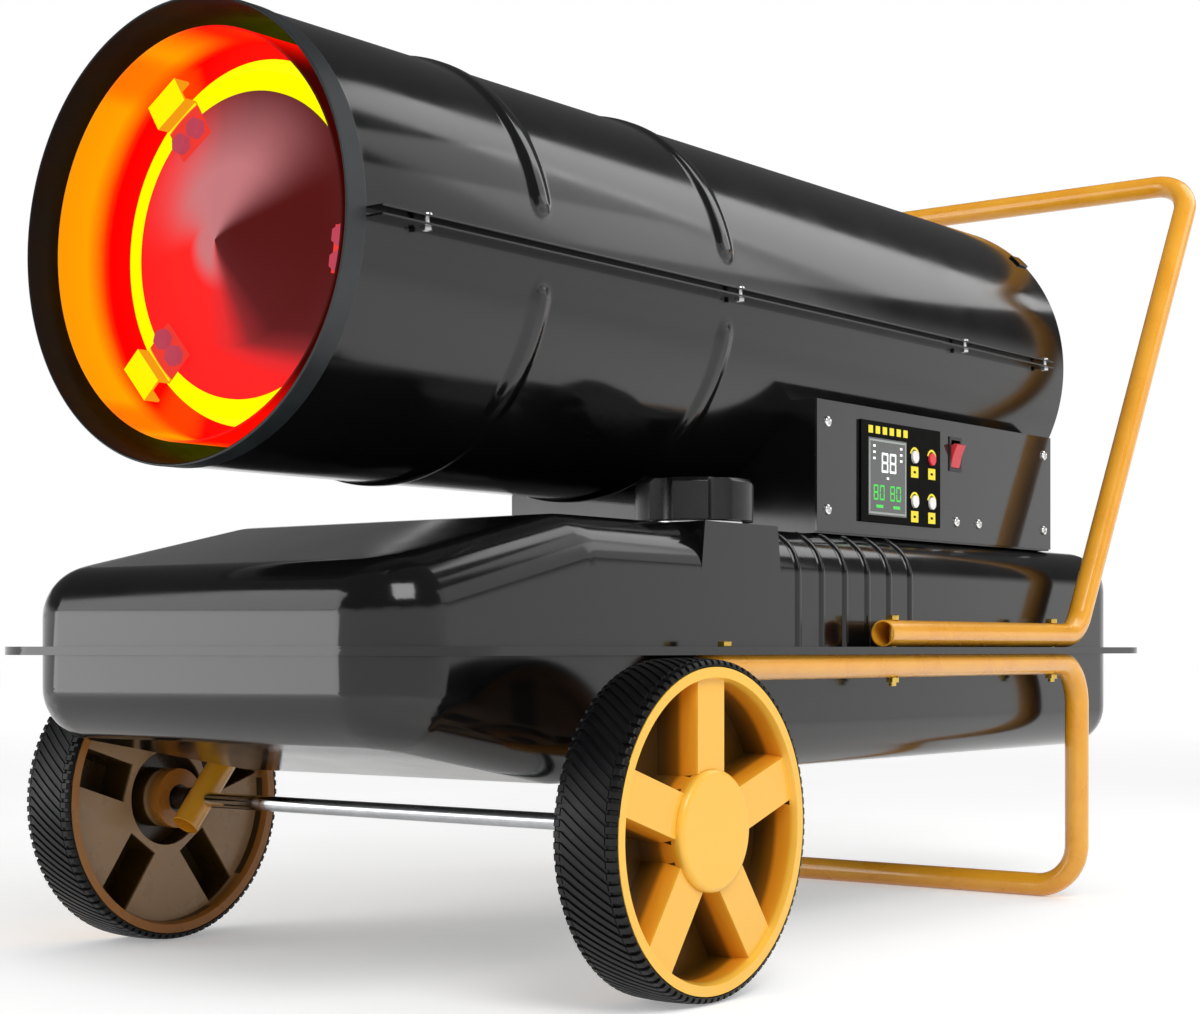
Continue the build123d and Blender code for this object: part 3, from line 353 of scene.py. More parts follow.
def brown_moulding_lit_and_shaded():
    """The wheel moulding's unsprayed inner side: tan on the lip, a painted tan highlight on the web,
    painted dark olive shade in the hollows.
    """
    material, tree, shader = finish_named("bare brown moulding with painted light and shade", IOR=1.47)
    # Painted light and shade by depth: the web's inner face tan as if lit, dark olive beyond it in the
    # hollows.
    colour = by_depth(tree, ((WHEEL_INNER - 2 * MM, "#c07a2c"), (WHEEL_INNER + 8 * MM, "#9a6a34"),
                             (WHEEL_INNER + 12.5 * MM, "#c09c74"), (WHEEL_INNER + 15 * MM, "#4a3208"),
                             (WHEEL_INNER + 46 * MM, "#3c2806")))
    tree.links.new(colour, shader.inputs["Base Color"])
    varied_roughness(tree, shader, speckle(tree, 20 * MM), 0.25, 0.35)
    relief(tree, shader, speckle(tree, 0.9 * MM), 0.01 * MM)
    return material


def moulded_rubber(name, dark, light, roughness):
    """Vulcanised rubber: deep black-grey with a dry sheen and the mould's fine grain."""
    return mottled(name, 14 * MM, (dark, light), (roughness - 0.06, roughness + 0.06), 0.7 * MM,
                   0.03 * MM, patch_detail=5.0, IOR=1.35)


def moulded_plastic(name, dark, light, roughness, index=1.46):
    """Injection moulded plastic with a fine spark-eroded grain."""
    return mottled(name, 18 * MM, (dark, light), (roughness - 0.04, roughness + 0.04), 0.6 * MM,
                   0.02 * MM, IOR=index)


def plated_metal(name, dark, light, roughness, grit=0.5 * MM):
    """Bright plating over machined steel: metallic, with faint tool marks and stains."""
    return mottled(name, 9 * MM, (dark, light), (roughness - 0.05, roughness + 0.07), grit,
                   0.01 * MM, patch_detail=4.0, Metallic=1.0)


def printed_ink(name, code, glow):
    """Screen print or a lit segment: one flat bright colour with a little light of its own."""
    return finish_named(name, IOR=1.45, Roughness=0.4, Base_Color=linear(code),
                        Emission_Color=linear(code), Emission_Strength=glow)[0]


def clear_black_glass():
    """The display's clear window over its dark screen: black with a sharp reflection."""
    material, tree, shader = finish_named("dark screen", IOR=1.52, Coat_Weight=1.0, Coat_Roughness=0.03)
    cloud = speckle(tree, 25 * MM)
    mixed_colour(tree, shader, cloud, "#202323", "#262a29")
    varied_roughness(tree, shader, cloud, 0.2, 0.28)
    return material


def hot_steel(name):
    """Steel at glowing heat: dark scale that hardly mirrors, under its own light at full strength."""
    return finish_named(name, IOR=1.15, Roughness=0.6, Emission_Strength=1.0, Base_Color=linear("#0a0202"))


def glowing(name, stops, factor_of):
    """Hot steel whose colour runs through sRGB codes by a factor from 0 to 1."""
    material, tree, shader = hot_steel(name)
    tree.links.new(colour_stops(tree, factor_of(tree), stops), shader.inputs["Emission Color"])
    return material


def steady(tree):
    """A factor about the middle that drifts a little over the piece."""
    span = add(tree, "ShaderNodeMapRange", [("Value", speckle(tree, 12 * MM))], in_From_Min=0.3,
               in_From_Max=0.7, in_To_Min=0.42, in_To_Max=0.58)
    return span.outputs["Result"]


def from_axis(tree):
    """How far a point is from the barrel's axis, and the direction there."""
    centre = add(tree, "ShaderNodeVectorMath", [(0, place(tree))], operation="SUBTRACT")
    centre.inputs[1].default_value = (0.0, 0.0, AXIS_HEIGHT)
    flat = add(tree, "ShaderNodeVectorMath", [(0, centre.outputs["Vector"])], operation="MULTIPLY")
    flat.inputs[1].default_value = (1.0, 0.0, 1.0)
    unit = add(tree, "ShaderNodeVectorMath", [(0, flat.outputs["Vector"])], operation="NORMALIZE")
    reach = add(tree, "ShaderNodeVectorMath", [(0, flat.outputs["Vector"])], operation="LENGTH")
    return reach.outputs["Value"], unit.outputs["Vector"]


def toward(tree, unit, degrees):
    """How far a direction from the barrel's axis agrees with an angle above +X."""
    aim = math.radians(degrees)
    along = add(tree, "ShaderNodeVectorMath", [(0, unit)], operation="DOT_PRODUCT")
    along.inputs[1].default_value = (math.cos(aim), 0.0, math.sin(aim))
    return along.outputs["Value"]


def ease(tree, value, start, end, top=1.0):
    """0 before the start, the top value after the end, and smooth between."""
    return add(tree, "ShaderNodeMapRange", [("Value", value)], in_From_Min=start, in_From_Max=end,
               in_To_Max=top, interpolation_type="SMOOTHSTEP").outputs["Result"]


def combined(tree, operation, first, second):
    return add(tree, "ShaderNodeMath", [(0, first), (1, second)], operation=operation).outputs["Value"]


def blended(tree, share, under, over):
    """One colour laid over another by a share; a colour is a socket or an sRGB code."""
    blend = add(tree, "ShaderNodeMix", [("Factor", share)], data_type="RGBA")
    for slot, colour in ((6, under), (7, over)):
        if isinstance(colour, str):
            blend.inputs[slot].default_value = linear(colour)
        else:
            tree.links.new(colour, blend.inputs[slot])
    return blend.outputs[2]


def fire_lit_chamber():
    """The chamber: orange wall, redder beside the brackets as a painted reflection, painted shade towards
    +X, red baffle, its edge yellow in the flame and painted wider towards +X.
    """
    material, tree, shader = hot_steel("chamber at orange heat with painted reflection and shade")
    reach, unit = from_axis(tree)
    parts = add(tree, "ShaderNodeSeparateXYZ", [("Vector", place(tree))])
    span = add(tree, "ShaderNodeMapRange", [("Value", parts.outputs["Y"])], in_From_Min=CHAMBER_FRONT,
               in_From_Max=BAFFLE_FRONT)
    flicker = add(tree, "ShaderNodeMapRange", [("Value", speckle(tree, 30 * MM))], in_To_Min=-0.02,
                  in_To_Max=0.02)
    depth = combined(tree, "ADD", span.outputs["Result"], flicker.outputs["Result"])
    wall = colour_stops(tree, depth, ((0.0, "#ff9a00"), (0.5, "#ffa200"), (0.68, "#ff7c00"),
                                      (0.85, "#ff2c00"), (0.94, "#ff0000")))
    # Painted reflection: the wall turns redder where the brackets' glow falls on it.
    for degrees in BRACKET_DEGREES:
        near = ease(tree, toward(tree, unit, degrees), 0.976, 0.9995, 0.6)
        wall = blended(tree, near, wall, "#ff5400")
    # Painted shade: the wall turns red, then nearly black, towards +X.
    wall = blended(tree, ease(tree, toward(tree, unit, 0.0), -0.36, 0.1), wall, "#ff0a00")
    wall = blended(tree, ease(tree, toward(tree, unit, 0.0), 0.42, 0.75), wall, "#3c0402")
    # Painted flame light: the yellow edge reaches past the baffle's hole, most towards +X.
    wide = ease(tree, toward(tree, unit, 0.0), -0.85, 0.5, FLAME_RING_WIDENS)
    inside = combined(tree, "SUBTRACT", reach, wide)
    edge = add(tree, "ShaderNodeMath", [(0, inside)], operation="LESS_THAN")
    edge.inputs[1].default_value = BAFFLE_HOLE_RADIUS
    lit = blended(tree, edge.outputs["Value"], wall, "#ffff00")
    behind = add(tree, "ShaderNodeMath", [(0, parts.outputs["Y"])], operation="GREATER_THAN")
    behind.inputs[1].default_value = BAFFLE_FRONT + 1 * MM
    lit = blended(tree, behind.outputs["Value"], lit, "#ffff00")
    tree.links.new(lit, shader.inputs["Emission Color"])
    return material


def brackets_with_painted_light():
    """The brackets: yellow feet in the flame with orange sides as painted shade, and rosy arms on the
    disc.
    """
    material, tree, shader = hot_steel("brackets at yellow heat with painted light and shade")
    reach = from_axis(tree)[0]
    normal = add(tree, "ShaderNodeSeparateXYZ", [
        ("Vector", add(tree, "ShaderNodeNewGeometry").outputs["Normal"])])
    # Painted light and shade: faces turned towards the mouth yellow, the others orange.
    foot = blended(tree, ease(tree, normal.outputs["Y"], -0.3, -0.7), "#f59a14", "#fff600")
    arm = ease(tree, reach, BAFFLE_HOLE_RADIUS - 5 * MM, BAFFLE_HOLE_RADIUS - 7 * MM)
    tree.links.new(blended(tree, arm, foot, "#f03a30"), shader.inputs["Emission Color"])
    return material


def red_disc_painted_light_and_shade():
    """The flame disc: bright red where the flame licks it, painted shade on the +X flank, and a painted
    pale highlight on its nose.
    """
    material, tree, shader = hot_steel("flame disc at red heat with painted light and shade")
    reach, unit = from_axis(tree)
    rim = add(tree, "ShaderNodeMapRange", [("Value", reach)], in_From_Min=0.66 * DISC_RADIUS,
              in_From_Max=DISC_RADIUS, in_To_Max=1.1)
    below = add(tree, "ShaderNodeMapRange", [("Value", toward(tree, unit, -112.0))], in_From_Min=0.1,
                in_From_Max=0.9)
    lift = combined(tree, "MULTIPLY", rim.outputs["Result"], below.outputs["Result"])
    # Painted light and shade: bright red towards -X and round the lower rim, dark towards +X.
    flame_lit_flank = combined(tree, "ADD", toward(tree, unit, 192.0), lift)
    heat = add(tree, "ShaderNodeMapRange", [("Value", flame_lit_flank)], in_From_Min=-1.0)
    glow = colour_stops(tree, heat.outputs["Result"], (
        (0.0, "#54100f"), (0.35, "#5c1416"), (0.5, "#8a2226"), (0.66, "#e8262a"), (0.8, "#ff1e1e")))
    # Painted highlight: pale pink above the middle and on the -X side of the nose.
    above = ease(tree, toward(tree, unit, 102.0), 0.15, 0.95)
    inward = add(tree, "ShaderNodeMapRange", [("Value", reach)], in_From_Min=DISC_RADIUS,
                 in_From_Max=0.5 * DISC_RADIUS, in_To_Min=0.1, in_To_Max=0.95)
    pale = combined(tree, "MULTIPLY", above, inward.outputs["Result"])
    nose = ease(tree, reach, 0.34 * DISC_RADIUS, 0.12 * DISC_RADIUS, 0.9)
    lit_side = ease(tree, toward(tree, unit, 160.0), -0.7, 0.1)
    share = combined(tree, "MAXIMUM", pale, combined(tree, "MULTIPLY", nose, lit_side))
    tree.links.new(blended(tree, share, glow, "#c87c80"), shader.inputs["Emission Color"])
    return material


enamel = black_stove_enamel()
shade_black_inner_skin = barrel_inside_painted_shade()
hem_enamel = charcoal_hem_enamel()
panel_enamel = gloss_panel_enamel()
tube_gold = golden_powder_coat()
rim_gold_and_painted_shade = golden_moulding_with_painted_shade()
rim_brown_light_and_shade = brown_moulding_lit_and_shaded()
tyre_rubber = moulded_rubber("tyre rubber", "#0b0b0d", "#101012", 0.42)
seal_rubber = moulded_rubber("seal rubber", "#161616", "#1c1c1c", 0.6)
cap_plastic = moulded_plastic("black polyamide", "#0d0d0e", "#121213", 0.26)
switch_plastic = moulded_plastic("black switch plastic", "#0c0c0d", "#111112", 0.35)
display_plastic = moulded_plastic("black display plastic", "#020202", "#040404", 0.6, index=1.15)
housing_plastic = moulded_plastic("grey switch plastic", "#1c1c1d", "#222223", 0.35)
key_white = moulded_plastic("white key plastic", "#f2f2ee", "#fbfbf8", 0.3)
key_red = moulded_plastic("red key plastic", "#e02a38", "#f03a48", 0.3)
rocker_red = moulded_plastic("red rocker plastic", "#d8323c", "#e43e48", 0.25)
ceramic = moulded_plastic("glazed ceramic", "#e4dfd2", "#efe9dc", 0.25)
board_green = moulded_plastic("solder resist", "#0b4a22", "#0f5a2a", 0.35)
bright_steel = plated_metal("bright zinc plating", "#e2e3e3", "#f0f1f1", 0.15)
wire_steel = plated_metal("chromed wire", "#8d8f90", "#a9abab", 0.25)
yellow_zinc = plated_metal("yellow zinc plating", "#c9a248", "#e6c468", 0.22)
turned_brass = plated_metal("turned brass", "#b08d45", "#c8a55a", 0.3)
drawn_copper = plated_metal("drawn copper", "#a8633f", "#c17a52", 0.3)
cast_aluminium = plated_metal("cast aluminium", "#8f9192", "#a7a9aa", 0.45, 0.9 * MM)
dark_steel = plated_metal("heat blued steel", "#3a3a40", "#55504c", 0.45)
axle_steel = plated_metal("polished axle steel", "#c2c4c6", "#cfd1d3", 0.08)
chamber_glow = fire_lit_chamber()
disc_glow = red_disc_painted_light_and_shade()
bracket_glow = brackets_with_painted_light()
bolt_glow = glowing("bolts at red heat", ((0.0, "#d04a62"), (1.0, "#a83848")), steady)
burner_glow = glowing("burner face in the flame", ((0.0, "#ffe800"), (1.0, "#ffb400")), steady)
white_print = printed_ink("white segments", "#eef2f0", 0.6)
green_print = printed_ink("green segments", "#3fc04a", 0.6)
grey_print = printed_ink("grey screen border", "#9aa09c", 0.15)
yellow_print = printed_ink("yellow print", "#f5e02a", 0.1)


# ---- barrel half shells ----
def bead_rise(distance, degrees):
    """How far a pressed bead stands proud at a distance behind the mouth and an angle above the seam."""
    rise = 0.0
    outside = max(BEAD_END_DEGREES - degrees, degrees - (180 - BEAD_END_DEGREES), 0.0)
    for centre in BEAD_DISTANCES:
        away = math.hypot(distance - centre, math.radians(outside) * BARREL_RADIUS)
        rise = max(rise, BEAD_HEIGHT * smooth_step(1.25 * (1 - away / BEAD_HALF_WIDTH)))
    return rise


def barrel_distances():
    """Rings of points along the barrel, close together where the sheet is shaped."""
    length = BARREL_REAR - MOUTH
    rows = spread(0, SHELL_THICKNESS, 0.3 * MM) + spread(3 * MM, HEM_LENGTH - 1 * MM, 4 * MM)
    rows += spread(HEM_LENGTH - 0.5 * MM, HEM_LENGTH + 0.8 * MM, 0.25 * MM)
    start = HEM_LENGTH + 4 * MM
    for centre in BEAD_DISTANCES:
        rows += spread(start, centre - BEAD_HALF_WIDTH - 2 * MM, 16 * MM)
        rows += spread(centre - BEAD_HALF_WIDTH, centre + BEAD_HALF_WIDTH, 1.3 * MM)
        start = centre + BEAD_HALF_WIDTH + 2 * MM
    return rows + spread(start, length, 18 * MM)


def half_barrel(name, node, turn_degrees, strip_low, strip_high):
    """One pressed half shell: rolled hem at the mouth, beads, both faces of the sheet, seam strips."""
    distances = barrel_distances()
    angles = spread(0.0, 180.0, 1.25)
    skins = []
    for inner in (False, True):
        rows = []
        for distance in distances:
            lip = max(0.0, SHELL_THICKNESS - distance)
            rounding = SHELL_THICKNESS - math.sqrt(SHELL_THICKNESS ** 2 - lip ** 2)
            hem = HEM_HEIGHT * (1 - smooth_step((distance - HEM_LENGTH + HEM_STEP_AHEAD) / HEM_STEP))
            row = []
            for degrees in angles:
                radius = BARREL_RADIUS + bead_rise(distance, degrees)
                radius += (rounding - SHELL_THICKNESS) if inner else (hem - rounding)
                turn = math.radians(degrees + turn_degrees)
                row.append((radius * math.cos(turn), MOUTH + distance,
                            AXIS_HEIGHT + radius * math.sin(turn)))
            rows.append(row)
        skins.append(rows)
    verts = [point for rows in skins for row in rows for point in row]
    columns = len(angles)
    count = len(distances)
    faces = grid_faces(count, columns) + grid_faces(count, columns, offset=count * columns, flip=True)
    other = count * columns
    for r in range(count - 1):
        for c in (0, columns - 1):
            a, b = r * columns + c, (r + 1) * columns + c
            quad = [a, b, b + other, a + other]
            faces.append(quad if c == 0 else quad[::-1])
    for r in (0, count - 1):
        for c in range(columns - 1):
            a = r * columns + c
            quad = [a, a + other, a + 1 + other, a + 1]
            faces.append(quad if r == 0 else quad[::-1])
    skin = (count - 1) * (columns - 1)
    shell = make_piece(name, verts, faces, [enamel, shade_black_inner_skin, hem_enamel], "black_paint",
                       BODY_OF[node], (node,), crease=40)
    # The inner skin takes the near-black enamel, painted shade inside the barrel; the hem's faces take the
    # charcoal enamel.
    for face in shell.data.polygons:
        if skin <= face.index < 2 * skin:
            face.material_index = 1
        elif face.center.y < MOUTH + HEM_LENGTH:
            face.material_index = 2
    for side in (-1, 1):
        inner_x = side * (BARREL_RADIUS - SHELL_THICKNESS / 2)
        outer_x = side * (BARREL_RADIUS + STRIP_WIDTH)
        points, quads = bar_points((min(inner_x, outer_x), MOUTH + STRIP_START, strip_low),
                                   (max(inner_x, outer_x), MOUTH + STRIP_END, strip_high))
        make_piece(f"{name}_seam_strip_{'right' if side > 0 else 'left'}", points, quads, enamel,
                   "black_paint", BODY_OF[node], edge=0.45 * MM, segments=3)


half_barrel("upper_barrel_shell", "barrel_upper_shell", 0.0, AXIS_HEIGHT, AXIS_HEIGHT + STRIP_THICKNESS)
half_barrel("lower_barrel_shell", "barrel_lower_shell", 180.0, AXIS_HEIGHT - STRIP_GAP - STRIP_THICKNESS,
            AXIS_HEIGHT - STRIP_GAP)


# ---- screws ----
def pan_head(centre, outward, radius, height, shank):
    """A domed screw head with a cross recess, and its shank: verts and faces."""
    normal = Vector(outward).normalized()
    side = normal.orthogonal().normalized()
    up = normal.cross(side)
    # The dome from its foot to its top, as shares of the head's radius and height.
    profile = [(0.999, 0.0), (1.0, 0.25), (0.94, 0.62), (0.8, 0.86), (0.62, 0.96), (0.5, 0.985),
               (0.4, 1.0), (0.3, 1.0), (0.18, 1.0), (0.08, 1.0)]
    shank_share, cross_reach, cross_half_width, cross_depth = 0.5, 0.55, 0.14, 0.5
    steps = 32
    verts = []
    for shank_depth in (shank, 0.0):
        for i in range(steps):
            turn = 2 * math.pi * i / steps
            verts.append(Vector(centre) - normal * shank_depth
                         + (side * math.cos(turn) + up * math.sin(turn)) * radius * shank_share)
    for share, rise in profile:
        for i in range(steps):
            turn = 2 * math.pi * i / steps
            u, v = share * radius * math.cos(turn), share * radius * math.sin(turn)
            in_cross = share < cross_reach and min(abs(u), abs(v)) < cross_half_width * radius
            lift = rise * height - (cross_depth * height if in_cross else 0.0)
            verts.append(Vector(centre) + normal * lift + side * u + up * v)
    rows = len(profile) + 2
    faces = grid_faces(rows, steps, close_columns=True)
    faces.append(list(range((rows - 1) * steps, rows * steps)))
    faces.append(list(range(steps))[::-1])
    return verts, faces


def screw_set(name, node, spots, finish, radius, height, shank):
    """All the screws of one kind; spots are (centre, outward) pairs."""
    verts, faces = [], []
    for centre, outward in spots:
        append_mesh(verts, faces, *pan_head(centre, outward, radius, height, shank))
    return piece_for(node, name, verts, faces, finish, crease=40)


SEAM_SCREW_DISTANCES = (68 * MM, 435 * MM, 806 * MM, 971 * MM)
seam_x = BARREL_RADIUS + STRIP_WIDTH - 6 * MM
screw_set("seam_screws", "shell_screws",
          [((side * seam_x, MOUTH + distance, AXIS_HEIGHT + STRIP_THICKNESS), (0, 0, 1))
           for side in (-1, 1) for distance in SEAM_SCREW_DISTANCES],
          bright_steel, SCREW_HEAD_RADIUS, SCREW_HEAD_HEIGHT, 9 * MM)

panel_front, panel_rear = low("side_panel").y, high("side_panel").y
panel_top = high("side_panel").z
PANEL_SCREW_IN_Y = 16 * MM
PANEL_SCREW_IN_Z = 18 * MM
EXTRA_SCREW_DISTANCES = (240 * MM, 283 * MM)
panel_spots = [(y, z) for y in (panel_front + PANEL_SCREW_IN_Y, panel_rear - PANEL_SCREW_IN_Y)
               for z in (PANEL_LOW + PANEL_SCREW_IN_Z, panel_top - PANEL_SCREW_IN_Z)]
panel_spots += [(panel_front + distance, PANEL_LOW + PANEL_SCREW_IN_Z)
                for distance in EXTRA_SCREW_DISTANCES]
screw_set("panel_fixing_screws", "panel_screws",
          [((PANEL_FACE, y, z), (1, 0, 0)) for y, z in panel_spots],
          bright_steel, 4.6 * MM, 2.4 * MM, 7 * MM)


# ---- pressed sheet, plastic and turned pieces that keep the frame's shape ----
for node, finish, edge in (
        ("tank_upper_shell", enamel, 0.0),
        ("tank_lower_shell", enamel, 0.0),
        ("control_box", enamel, 0.6 * MM),
        ("side_panel", panel_enamel, 0.5 * MM),
        ("filler_neck", bright_steel, 0.3 * MM),
        ("fuel_strainer", cap_plastic, 0.2 * MM),
        ("cap_gasket", seal_rubber, 0.3 * MM),
        ("fuel_cap", cap_plastic, 2.0 * MM),
        ("drain_plug", yellow_zinc, 0.6 * MM),
        ("shell_nuts", bright_steel, 0.25 * MM),
        ("flame_disc", disc_glow, 0.0),
        ("disc_brackets", bracket_glow, 0.3 * MM),
        ("disc_bolts", bolt_glow, 0.4 * MM),
        ("combustion_chamber", chamber_glow, 0.0),
        ("chamber_stays", dark_steel, 0.2 * MM),
        ("burner_head", burner_glow, 0.0),
        ("ignition_electrodes", ceramic, 0.0),
        ("fuel_nozzle", turned_brass, 0.3 * MM),
        ("fan_motor", enamel, 0.0),
        ("motor_bracket", bright_steel, 0.3 * MM),
        ("fan", cast_aluminium, 0.4 * MM),
        ("motor_shaft", axle_steel, 0.3 * MM),
        ("air_pump", cast_aluminium, 0.8 * MM),
        ("pump_rotor", dark_steel, 0.2 * MM),
        ("pump_vanes", switch_plastic, 0.2 * MM),
        ("guard_clips", enamel, 0.4 * MM),
        ("ignition_transformer", switch_plastic, 0.8 * MM),
        ("cord_gland", switch_plastic, 0.6 * MM),
        ("display_module", display_plastic, 0.5 * MM),
        ("control_board", board_green, 0.2 * MM),
        ("rocker_housing", housing_plastic, 0.4 * MM),
        ("rocker_key", rocker_red, 0.5 * MM),
        ("mode_key", key_white, 0.7 * MM),
        ("power_key", key_red, 0.7 * MM),
        ("lower_key", key_white, 0.7 * MM),
        ("raise_key", key_white, 0.7 * MM),
        ("fuel_pipe", drawn_copper, 0.0),
        ("air_pipe", drawn_copper, 0.0),
        ("frame_bolts", yellow_zinc, 0.5 * MM),
        ("frame_nuts", yellow_zinc, 0.4 * MM),
        ("axle", axle_steel, 0.6 * MM),
        ("axle_spacers", dark_steel, 0.3 * MM),
        ("axle_washers", bright_steel, 0.2 * MM),
        ("axle_clips", dark_steel, 0.2 * MM),
        ("right_wheel_bush", cap_plastic, 0.3 * MM),
        ("left_wheel_bush", cap_plastic, 0.3 * MM),
        ("right_hub_cap", rim_gold_and_painted_shade, 0.0),
        ("left_hub_cap", rim_gold_and_painted_shade, 0.0)):
    from_frame(node, finish, edge)

SPOKES = 5
SPOKE_HALF_WIDTH = 18 * MM
HUB_CUP_RADIUS = 39.5 * MM


def inside_a_hollow(face):
    """True on the walls of the hollows behind the spokes and the hub, which face each other."""
    place_in = Vector((0, face.center.y - WHEEL_CENTRE.y, face.center.z - WHEEL_CENTRE.z))
    if place_in.length < HUB_CUP_RADIUS:
        return True
    for index in range(SPOKES):
        turn = 2 * math.pi * index / SPOKES
        along = Vector((0, -math.sin(turn), math.cos(turn)))
        across = Vector((0, math.cos(turn), math.sin(turn)))
        offset = place_in.dot(across)
        if place_in.dot(along) > 0 and abs(offset) < SPOKE_HALF_WIDTH:
            return face.normal.dot(across) * offset < 0 or abs(face.normal.dot(along)) > 0.7
    return False


for side in ("right", "left"):
    rim = from_frame(side + "_rim", [rim_gold_and_painted_shade, rim_brown_light_and_shade], 0.7 * MM, crease=24)
    outward = 1 if side == "right" else -1
    # Faces turned inwards and the walls of the hollows take the brown moulding, with its painted shade of
    # the hollows.
    for face in rim.data.polygons:
        tilt = face.normal.x * outward
        if tilt < -0.35 or (abs(tilt) < 0.35 and inside_a_hollow(face)):
            face.material_index = 1


# ---- display: screen, segments and key prints ----
SEGMENTS = {"8": "abcdefg", "0": "abcdef"}


def digit_bars(figure, corner, width, height, stroke):
    """The bars of one seven-segment figure, as (y0, z0, y1, z1) rectangles."""
    y, z = corner
    half = height / 2
    gap = stroke * 0.25
    bars = {
        "a": (y + gap, z + height - stroke, y + width - gap, z + height),
        "g": (y + gap, z + half - stroke / 2, y + width - gap, z + half + stroke / 2),
        "d": (y + gap, z, y + width - gap, z + stroke),
        "f": (y, z + half + gap, y + stroke, z + height - gap),
        "b": (y + width - stroke, z + half + gap, y + width, z + height - gap),
        "e": (y, z + gap, y + stroke, z + half - gap),
        "c": (y + width - stroke, z + gap, y + width, z + half - gap)}
    return [bars[letter] for letter in SEGMENTS[figure]]


PRINT_SUNK = 0.05 * MM
PRINT_THICKNESS = 0.12 * MM


def print_bar(y0, z0, y1, z1):
    """The corners and faces of one thin printed or lit rectangle on the display's face."""
    return bar_points((DISPLAY_FACE - PRINT_SUNK, y0, z0), (DISPLAY_FACE + PRINT_THICKNESS, y1, z1))


def flat_print(name, rectangles, finish):
    """Thin printed or lit rectangles on the display's face, as one piece."""
    verts, faces = [], []
    for rectangle in rectangles:
        append_mesh(verts, faces, *print_bar(*rectangle))
    return make_piece(name, verts, faces, finish, "white_plastic", "heater", edge=0.05 * MM, segments=1)


screen_low, screen_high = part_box("display_window")
from_frame("display_window", clear_black_glass(), 0.3 * MM)


def screen_box(y0, z0, y1, z1):
    """A rectangle given in shares of the screen, from its front lower corner."""
    wide = screen_high.y - screen_low.y
    tall = screen_high.z - screen_low.z
    return (screen_low.y + wide * y0, screen_low.z + tall * z0, screen_low.y + wide * y1,
            screen_low.z + tall * z1)


def outline(y0, z0, y1, z1, line):
    return [(y0, z0, y1, z0 + line), (y0, z1 - line, y1, z1), (y0, z0 + line, y0 + line, z1 - line),
            (y1 - line, z0 + line, y1, z1 - line)]


border = outline(*screen_box(0.02, 0.02, 0.98, 0.98), 1.7 * MM)
flat_print("screen_border", border, grey_print)
HEADER_BLOCKS = 6
HEADER_BLOCK_SHARE = 0.62
header_low = screen_high.z + 3.5 * MM
header_high = high("display_module").z - 4 * MM
header_step = (screen_high.y - screen_low.y + 6 * MM) / HEADER_BLOCKS
header = [(screen_low.y + header_step * i, header_low,
           screen_low.y + header_step * (i + HEADER_BLOCK_SHARE), header_high)
          for i in range(HEADER_BLOCKS)]
# Width, height and stroke of the figures.
WHITE_FIGURE = (11 * MM, 17 * MM, 2.0 * MM)
GREEN_FIGURE = (8 * MM, 13 * MM, 1.5 * MM)
white_bars = []
green_bars = []
for start in (0.34, 0.55):
    white_bars += digit_bars("8", screen_box(start, 0.56, 1, 1)[:2], *WHITE_FIGURE)
for start, figure in ((0.13, "8"), (0.29, "0"), (0.56, "8"), (0.72, "0")):
    green_bars += digit_bars(figure, screen_box(start, 0.2, 1, 1)[:2], *GREEN_FIGURE)
small_marks = [screen_box(a, b, a + 0.06, b + 0.03) for a, b in (
    (0.12, 0.88), (0.12, 0.8), (0.12, 0.72), (0.82, 0.88), (0.82, 0.8), (0.82, 0.72), (0.47, 0.475))]
green_lines = [screen_box(0.2, 0.1, 0.38, 0.14), screen_box(0.64, 0.1, 0.82, 0.14)]
flat_print("white_figures", white_bars + small_marks, white_print)
flat_print("green_figures", green_bars + green_lines, green_print)

KEY_ARC_RADII = (6.6 * MM, 8.6 * MM)
KEY_ARC_START = 20
KEY_ARC_SWEEP = 140
KEY_ARC_STEPS = 16
# The sign under a key, four bars round a dark gap: y from, y to, z from, z to, in millimetres.
KEY_SIGN = ((-6.5, 6.5, -18.0, -14.2), (-6.5, 6.5, -12.2, -8.2), (-6.5, -2.2, -14.2, -12.2),
            (2.2, 6.5, -14.2, -12.2))


def key_arc(spot):
    """The printed arc over a key, as a thin curved bar: verts and faces."""
    points = []
    for depth in (-PRINT_SUNK, PRINT_THICKNESS):
        for reach in KEY_ARC_RADII:
            for i in range(KEY_ARC_STEPS + 1):
                turn = math.radians(KEY_ARC_START + KEY_ARC_SWEEP * i / KEY_ARC_STEPS)
                points.append((DISPLAY_FACE + depth, spot.y + reach * math.cos(turn),
                               spot.z + reach * math.sin(turn)))
    last = KEY_ARC_STEPS
    row = last + 1
    quads = [[a * row + i, b * row + i, b * row + i + 1, a * row + i + 1]
             for a, b in ((0, 1), (1, 3), (3, 2), (2, 0)) for i in range(last)]
    quads.append([0, 2 * row, 3 * row, row])
    quads.append([last, row + last, 3 * row + last, 2 * row + last])
    return points, quads


verts, faces = [], []
for key in ("mode_key", "power_key", "lower_key", "raise_key"):
    spot = middle(key)
    append_mesh(verts, faces, *key_arc(spot))
    for y0, y1, z0, z1 in KEY_SIGN:
        append_mesh(verts, faces, *print_bar(spot.y + y0 * MM, spot.z + z0 * MM,
                                             spot.y + y1 * MM, spot.z + z1 * MM))
make_piece("key_prints", verts, faces, yellow_print, "white_plastic", "heater")
flat_print("header_blocks", header, yellow_print)


